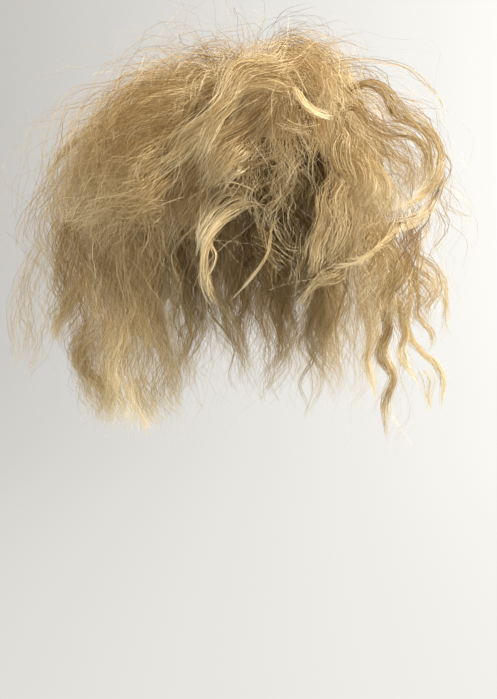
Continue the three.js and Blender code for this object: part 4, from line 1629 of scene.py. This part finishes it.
SECTIONS = (
    HairSection(
        name="right_locks", replaces="right_hair", seed=11, clumps=100, triangles=150000, tone=0.14,
        toned=0.32, loose=Loose(reach=(0.56, 1.0)), openings=RIGHT_OPENINGS,
        curl=Curl(size=0.0062, period=0.054, alike=0.7), habits=FRONT_HABITS,
        between=((0, 1), (1, 2), (3, 4), (3, 1)), drawn=RIGHT_FLOWS,
        layers=(
            Layer(-38, 38, 2, root=0.15, lift=0.88, reach=0.52, tuck=0.56, fall=0.3,
                  width=0.95, wave=0.5, waves=1.2, swing=8),
            Layer(-41, 43, 4, root=0.45, lift=0.52, reach=1.0, tuck=0.9, fall=0.84,
                  width=1.0, wave=1.0, waves=2.1, swing=3),
            Layer(-36, 42, 3, root=0.92, lift=0.05, reach=0.78, tuck=0.82, fall=1.0,
                  width=0.95, wave=1.0, waves=2.3, swing=0)),
        sweeps=(
            Layer(-74, -20, 1, root=0.3, lift=0.48, reach=0.96, tuck=0.9, fall=0.8,
                  width=0.95, wave=0.8, waves=1.8, swing=46),
            Layer(-70, -16, 1, root=0.75, lift=0.25, reach=0.92, tuck=0.86, fall=0.9,
                  width=0.95, wave=0.9, waves=2.0, swing=40))),
    # The two back sections darken their low-rooted clumps much more (under): painted shade of the hair's inside.
    HairSection(
        name="back_right_locks", replaces="back_right_hair", seed=12, clumps=100, triangles=195000, under=0.60,
        tone=0.46, openings=RIGHT_OPENINGS,
        curl=Curl(size=0.0056, period=0.062, alike=0.7), habits=BACK_HABITS, between=((0, 1), (1, 2)),
        layers=(
            Layer(46, 90, 1, root=0.15, lift=0.86, reach=0.56, tuck=0.6, fall=0.35,
                  width=1.1, wave=0.4, waves=1.2, swing=6),
            Layer(45, 91, 3, root=0.45, lift=0.52, reach=1.0, tuck=0.88, fall=0.9,
                  width=0.95, wave=0.8, waves=2.0, swing=2),
            Layer(44, 92, 2, root=0.92, lift=0.0, reach=0.78, tuck=0.76, fall=1.0,
                  width=1.0, wave=0.8, waves=2.2, swing=0))),
    HairSection(
        name="back_left_locks", replaces="back_left_hair", seed=13, clumps=100, triangles=198000, under=0.60,
        tone=0.44,
        curl=Curl(size=0.0056, period=0.062, alike=0.7), habits=BACK_HABITS,
        between=((0, 1), (1, 2), (3, 4), (3, 4)),
        sweeps=(
            Layer(124, 176, 1, root=0.4, lift=0.54, reach=1.0, tuck=0.86, fall=0.84,
                  width=0.95, wave=0.8, waves=2.0, swing=1),
            Layer(122, 174, 1, root=0.85, lift=0.1, reach=0.84, tuck=0.78, fall=1.0,
                  width=0.95, wave=0.8, waves=2.0, swing=1)),
        layers=(
            Layer(94, 136, 1, root=0.15, lift=0.86, reach=0.56, tuck=0.6, fall=0.35,
                  width=1.1, wave=0.4, waves=1.2, swing=4),
            Layer(93, 137, 3, root=0.45, lift=0.5, reach=1.0, tuck=0.86, fall=0.9,
                  width=0.95, wave=0.8, waves=2.0, swing=1),
            Layer(92, 138, 2, root=0.92, lift=0.0, reach=0.78, tuck=0.74, fall=1.0,
                  width=1.0, wave=0.8, waves=2.2, swing=0))),
    HairSection(
        name="left_locks", replaces="left_hair", seed=14, clumps=130, triangles=112000, tone=0.36,
        toned=0.14, openings=LEFT_OPENINGS,
        curl=Curl(size=0.0068, period=0.084, alike=0.6), habits=CLOUD_HABITS, wander=0.010,
        loose=Loose(fall=(0.90, 1.14), reach=(0.62, 1.04), lift=(0.62, 1.04)),
        between=((0, 1), (1, 2), (1, 2), (3, 4), (3, 1)), drawn=LEFT_FLOWS,
        layers=(
            Layer(144, 218, 2, root=0.15, lift=0.88, reach=0.5, tuck=0.54, fall=0.3,
                  width=1.05, wave=0.5, waves=1.2, swing=-4),
            Layer(139, 223, 5, root=0.45, lift=0.5, reach=1.0, tuck=0.8, fall=0.94,
                  width=1.05, wave=0.9, waves=2.0, swing=-1),
            Layer(142, 222, 2, root=0.92, lift=0.05, reach=0.72, tuck=0.64, fall=1.0,
                  width=1.3, wave=0.9, waves=2.2, swing=0)),
        sweeps=(
            Layer(196, 268, 1, root=0.3, lift=0.46, reach=0.96, tuck=0.8, fall=0.86,
                  width=1.1, wave=0.6, waves=1.4, swing=-52),
            Layer(190, 256, 1, root=0.75, lift=0.25, reach=0.9, tuck=0.72, fall=0.94,
                  width=1.1, wave=0.7, waves=1.6, swing=-40))),
    HairSection(
        name="fringe_locks", replaces="fringe_hair", seed=15, clumps=100, triangles=88000, tone=0.38,
        openings=(EAR_WINDOW,),
        curl=Curl(size=0.0045, period=0.055, alike=0.6), habits=FRONT_HABITS, in_locks=0.22,
        between=((0, 4), (4, 5), (4, 5), (2, 6), (4, 5), (5, 7), (6, 8)), drawn=CROWN_FLOWS + FRINGE_FLOWS,
        layers=(
            Layer(236, 290, 2, root=0.2, lift=0.52, reach=0.8, tuck=0.86, fall=0.16,
                  width=1.05, wave=0.6, waves=1.2, swing=-14),
            Layer(230, 288, 4, root=0.6, lift=0.38, reach=0.98, tuck=0.98, fall=0.5,
                  width=0.85, wave=1.0, waves=1.5, swing=-7),
            Layer(292, 318, 2, root=0.5, lift=0.42, reach=0.98, tuck=0.96, fall=0.6,
                  width=0.85, wave=1.0, waves=1.5, swing=6),
            Layer(246, 314, 3, root=0.94, lift=-0.15, reach=0.96, tuck=0.96, fall=0.98,
                  width=0.36, wave=1.1, waves=1.6, swing=-8)),
        sweeps=(
            Layer(244, 296, 1, root=0.25, lift=0.48, reach=0.92, tuck=0.8, fall=0.5,
                  width=1.0, wave=0.5, waves=1.2, swing=-58),
            Layer(246, 298, 1, root=0.7, lift=0.28, reach=0.94, tuck=0.82, fall=0.6,
                  width=1.0, wave=0.6, waves=1.4, swing=-50),
            Layer(300, 330, 1, root=0.6, lift=0.36, reach=0.94, tuck=0.86, fall=0.6,
                  width=1.0, wave=0.8, waves=1.6, swing=34),
            Layer(232, 290, 1, root=0.92, lift=0.02, reach=0.86, tuck=0.8, fall=0.46,
                  width=0.9, wave=0.7, waves=1.4, swing=-34),
            Layer(286, 322, 1, root=0.92, lift=0.02, reach=0.86, tuck=0.8, fall=0.46,
                  width=0.9, wave=0.7, waves=1.4, swing=26))),
)


@dataclass(frozen=True)
class NetFinish:
    """Brown net: fine threads that cross over a darker ground."""

    name: str = "brown_net"
    thread: tuple[float, float, float] = (0.20, 0.125, 0.07)
    ground: tuple[float, float, float] = (0.055, 0.032, 0.018)
    mesh_scale: float = 900.0

    def made(self) -> bpy.types.Material:
        """Builds the material from two crossing sets of threads.

        Returns:
            The material.
        """
        material, tree = new_material(self.name)
        place = node(tree, "ShaderNodeTexCoord", output="Object")
        waves = [node(tree, "ShaderNodeTexWave", {"bands_direction": way}, {
            "Vector": place, "Scale": self.mesh_scale, "Distortion": 1.5, "Detail": 1.0}, output=1)
            for way in ("X", "Y")]
        weave = waves[0] * 0.5 + waves[1] * 0.5
        colour = node(tree, "ShaderNodeMix", {"data_type": "RGBA"}, {
            "Factor": weave, 6: (*self.ground, 1.0), 7: (*self.thread, 1.0)}, output=2)
        bump = node(tree, "ShaderNodeBump", {}, {"Height": weave, "Strength": 0.5, "Distance": 0.0004})
        surface(tree, node(tree, "ShaderNodeBsdfPrincipled", {}, {
            "Base Color": colour, "Roughness": 0.8, "Normal": bump}))
        return material


@dataclass(frozen=True)
class EnamelFinish:
    """Dark brown enamel on spring steel, worn thin here and there."""

    name: str = "brown_enamel"
    coat: tuple[float, float, float] = (0.045, 0.026, 0.017)
    worn: tuple[float, float, float] = (0.30, 0.27, 0.24)

    def made(self) -> bpy.types.Material:
        """Builds the material, with worn spots from a noise.

        Returns:
            The material.
        """
        material, tree = new_material(self.name)
        place = node(tree, "ShaderNodeTexCoord", output="Object")
        spots = node(tree, "ShaderNodeTexNoise", {}, {"Vector": place, "Scale": 620.0, "Detail": 4.0})
        wear = node(tree, "ShaderNodeValToRGB", {"stops": (
            (0.60, (0.0, 0.0, 0.0)), (0.72, (1.0, 1.0, 1.0)))}, {"Fac": spots})
        colour = node(tree, "ShaderNodeMix", {"data_type": "RGBA"}, {
            "Factor": wear, 6: (*self.coat, 1.0), 7: (*self.worn, 1.0)}, output=2)
        bump = node(tree, "ShaderNodeBump", {}, {"Height": spots, "Strength": 0.2, "Distance": 0.0002})
        surface(tree, node(tree, "ShaderNodeBsdfPrincipled", {}, {
            "Base Color": colour, "Roughness": 0.34, "Metallic": 0.5, "Normal": bump}))
        return material


@dataclass(frozen=True)
class Base:
    """The net base and its clips, which keep their CAD shapes."""

    net: str = "base_cap"
    clips: tuple[str, ...] = ("clip_right", "clip_back", "clip_left", "clip_front")

    @staticmethod
    def dressed(name: str, material: bpy.types.Material) -> None:
        """Gives a CAD node another material."""
        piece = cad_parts[name]
        piece.data.materials.clear()
        piece.data.materials.append(material)
        LOG.info("%s: %s", name, material.name)

    def build(self) -> None:
        """Dresses the net and the clips."""
        self.dressed(self.net, NetFinish().made())
        enamel = EnamelFinish().made()
        for clip in self.clips:
            self.dressed(clip, enamel)


@dataclass(frozen=True)
class Lamp:
    """A soft square light: where it stands, its side in metres, its power and its colour."""

    name: str
    place: tuple[float, float, float]
    side: float
    power: float
    colour: tuple[float, float, float]


@dataclass(frozen=True)
class Studio:
    """The camera, the lights, and the pale floor that rises into a pale surround, which glows with painted light.
    """

    sight: Sight
    lens: float = 38.27
    sensor: float = 36.0
    target: tuple[float, float, float] = (-0.02, 0.0, -0.12)
    floor: float = -0.62
    top: float = 3.0
    radius: float = 2.6
    flat: float = 0.55
    sky: tuple[float, float, float] = (1.0, 0.985, 0.955)
    sky_strength: float = 0.42
    # The surround's glow is painted light: darker at the left, brighter at the right, as if lit from the right.
    wall_change: float = 0.45
    wall_left: tuple[float, float, float] = (0.54, 0.525, 0.50)
    wall_right: tuple[float, float, float] = (1.0, 0.99, 0.95)
    lamps: tuple[Lamp, ...] = (
        Lamp("key_light", (1.35, -0.70, 1.05), 0.5, 92.0, (1.0, 0.97, 0.92)),
        Lamp("top_light", (0.10, -0.10, 1.50), 0.6, 16.0, (1.0, 0.98, 0.94)),
        Lamp("right_back_light", (1.10, 1.10, 0.35), 1.2, 27.0, (1.0, 0.97, 0.91)),
        Lamp("left_back_light", (-0.90, 1.30, 0.70), 1.2, 12.0, (1.0, 0.98, 0.94)),
        Lamp("fill_light", (-1.10, -1.20, 0.35), 1.5, 20.0, (1.0, 0.98, 0.95)),
    )

    def build(self) -> None:
        """Sets up the whole studio."""
        self.camera()
        self.light()
        self.stage()

    def camera(self) -> None:
        """Makes the camera at the photograph's angle."""
        data = bpy.data.cameras.new("camera")
        data.lens = self.lens
        data.sensor_width = self.sensor
        data.clip_start = 0.01
        camera = bpy.data.objects.new("camera", data)
        camera.location = self.sight.eye
        camera.rotation_euler = (math.radians(90.0 - self.sight.pitch), 0.0, math.radians(self.sight.yaw))
        bpy.context.scene.collection.objects.link(camera)
        bpy.context.scene.camera = camera

    def light(self) -> None:
        """Makes the sky and the lamps, and shows colours as they are."""
        scene = bpy.context.scene
        scene.view_settings.view_transform = "Standard"
        world = bpy.data.worlds.new("soft_sky")
        scene.world = world
        world.use_nodes = True
        shade = world.node_tree.nodes["Background"]
        shade.inputs[0].default_value = (*self.sky, 1.0)
        shade.inputs[1].default_value = self.sky_strength
        for lamp in self.lamps:
            data = bpy.data.lights.new(lamp.name, "AREA")
            data.size = lamp.side
            data.energy = lamp.power
            data.color = lamp.colour
            made = bpy.data.objects.new(lamp.name, data)
            made.location = lamp.place
            aim = made.location - Vector(self.target)
            made.rotation_euler = aim.to_track_quat("Z", "Y").to_euler()
            scene.collection.objects.link(made)

    def stage(self) -> None:
        """Makes the pale floor and surround, which light passes, so that they shade nothing. They glow with
        painted light, darker at the left and brighter at the right.
        """
        sides, bend = 96, 14
        flat = self.radius * self.flat
        profile = [(0.0, self.floor), (flat, self.floor)]
        for i in range(1, bend + 1):
            angle = math.pi / 2 * i / bend
            rise = (self.radius - flat) * (1.0 - math.cos(angle))
            profile.append((flat + (self.radius - flat) * math.sin(angle), self.floor + rise))
        profile.append((self.radius, self.top))
        places, faces = [(0.0, 0.0, self.floor)], []
        for far, high in profile[1:]:
            for i in range(sides):
                turn = TURN * i / sides
                places.append((far * math.cos(turn), far * math.sin(turn), high))
        for i in range(sides):
            after = (i + 1) % sides
            faces.append((0, 1 + i, 1 + after))
            for ring in range(len(profile) - 2):
                start = 1 + ring * sides
                faces.append((start + i, start + sides + i, start + sides + after, start + after))
        mesh = bpy.data.meshes.new("stage")
        mesh.from_pydata(places, [], faces)
        mesh.polygons.foreach_set("use_smooth", np.ones(len(faces), dtype=bool))
        material, tree = new_material("pale_paper")
        across, _ = parts_of(tree, node(tree, "ShaderNodeTexCoord", output="Object"))
        # Painted light: the glow grows from the left colour to the right colour across the stage.
        right = across * self.wall_change + 0.5
        glow = node(tree, "ShaderNodeValToRGB", {"stops": (
            (0.0, self.wall_left), (1.0, self.wall_right))}, {"Fac": right})
        surface(tree, node(tree, "ShaderNodeBsdfPrincipled", {}, {
            "Base Color": (0.02, 0.02, 0.02, 1.0), "Roughness": 1.0, "Specular IOR Level": 0.0,
            "Emission Color": glow, "Emission Strength": 1.0}))
        mesh.materials.append(material)
        stage = bpy.data.objects.new("stage", mesh)
        stage.visible_diffuse = False
        stage.visible_glossy = False
        stage.visible_transmission = False
        stage.visible_shadow = False
        bpy.context.scene.collection.objects.link(stage)


def main() -> None:
    """Builds the studio, the hair and the base, and reports each piece."""
    logging.basicConfig(level=logging.INFO, format="%(message)s")
    sight = Sight()
    Studio(sight).build()
    room = Room.of_cad()
    blond = HairFinish("blond_hair").made()
    forms = sight.forms()
    for section in SECTIONS:
        section.build(blond, room, sight, forms)
    Base().build()


if __name__ == "__main__":
    main()
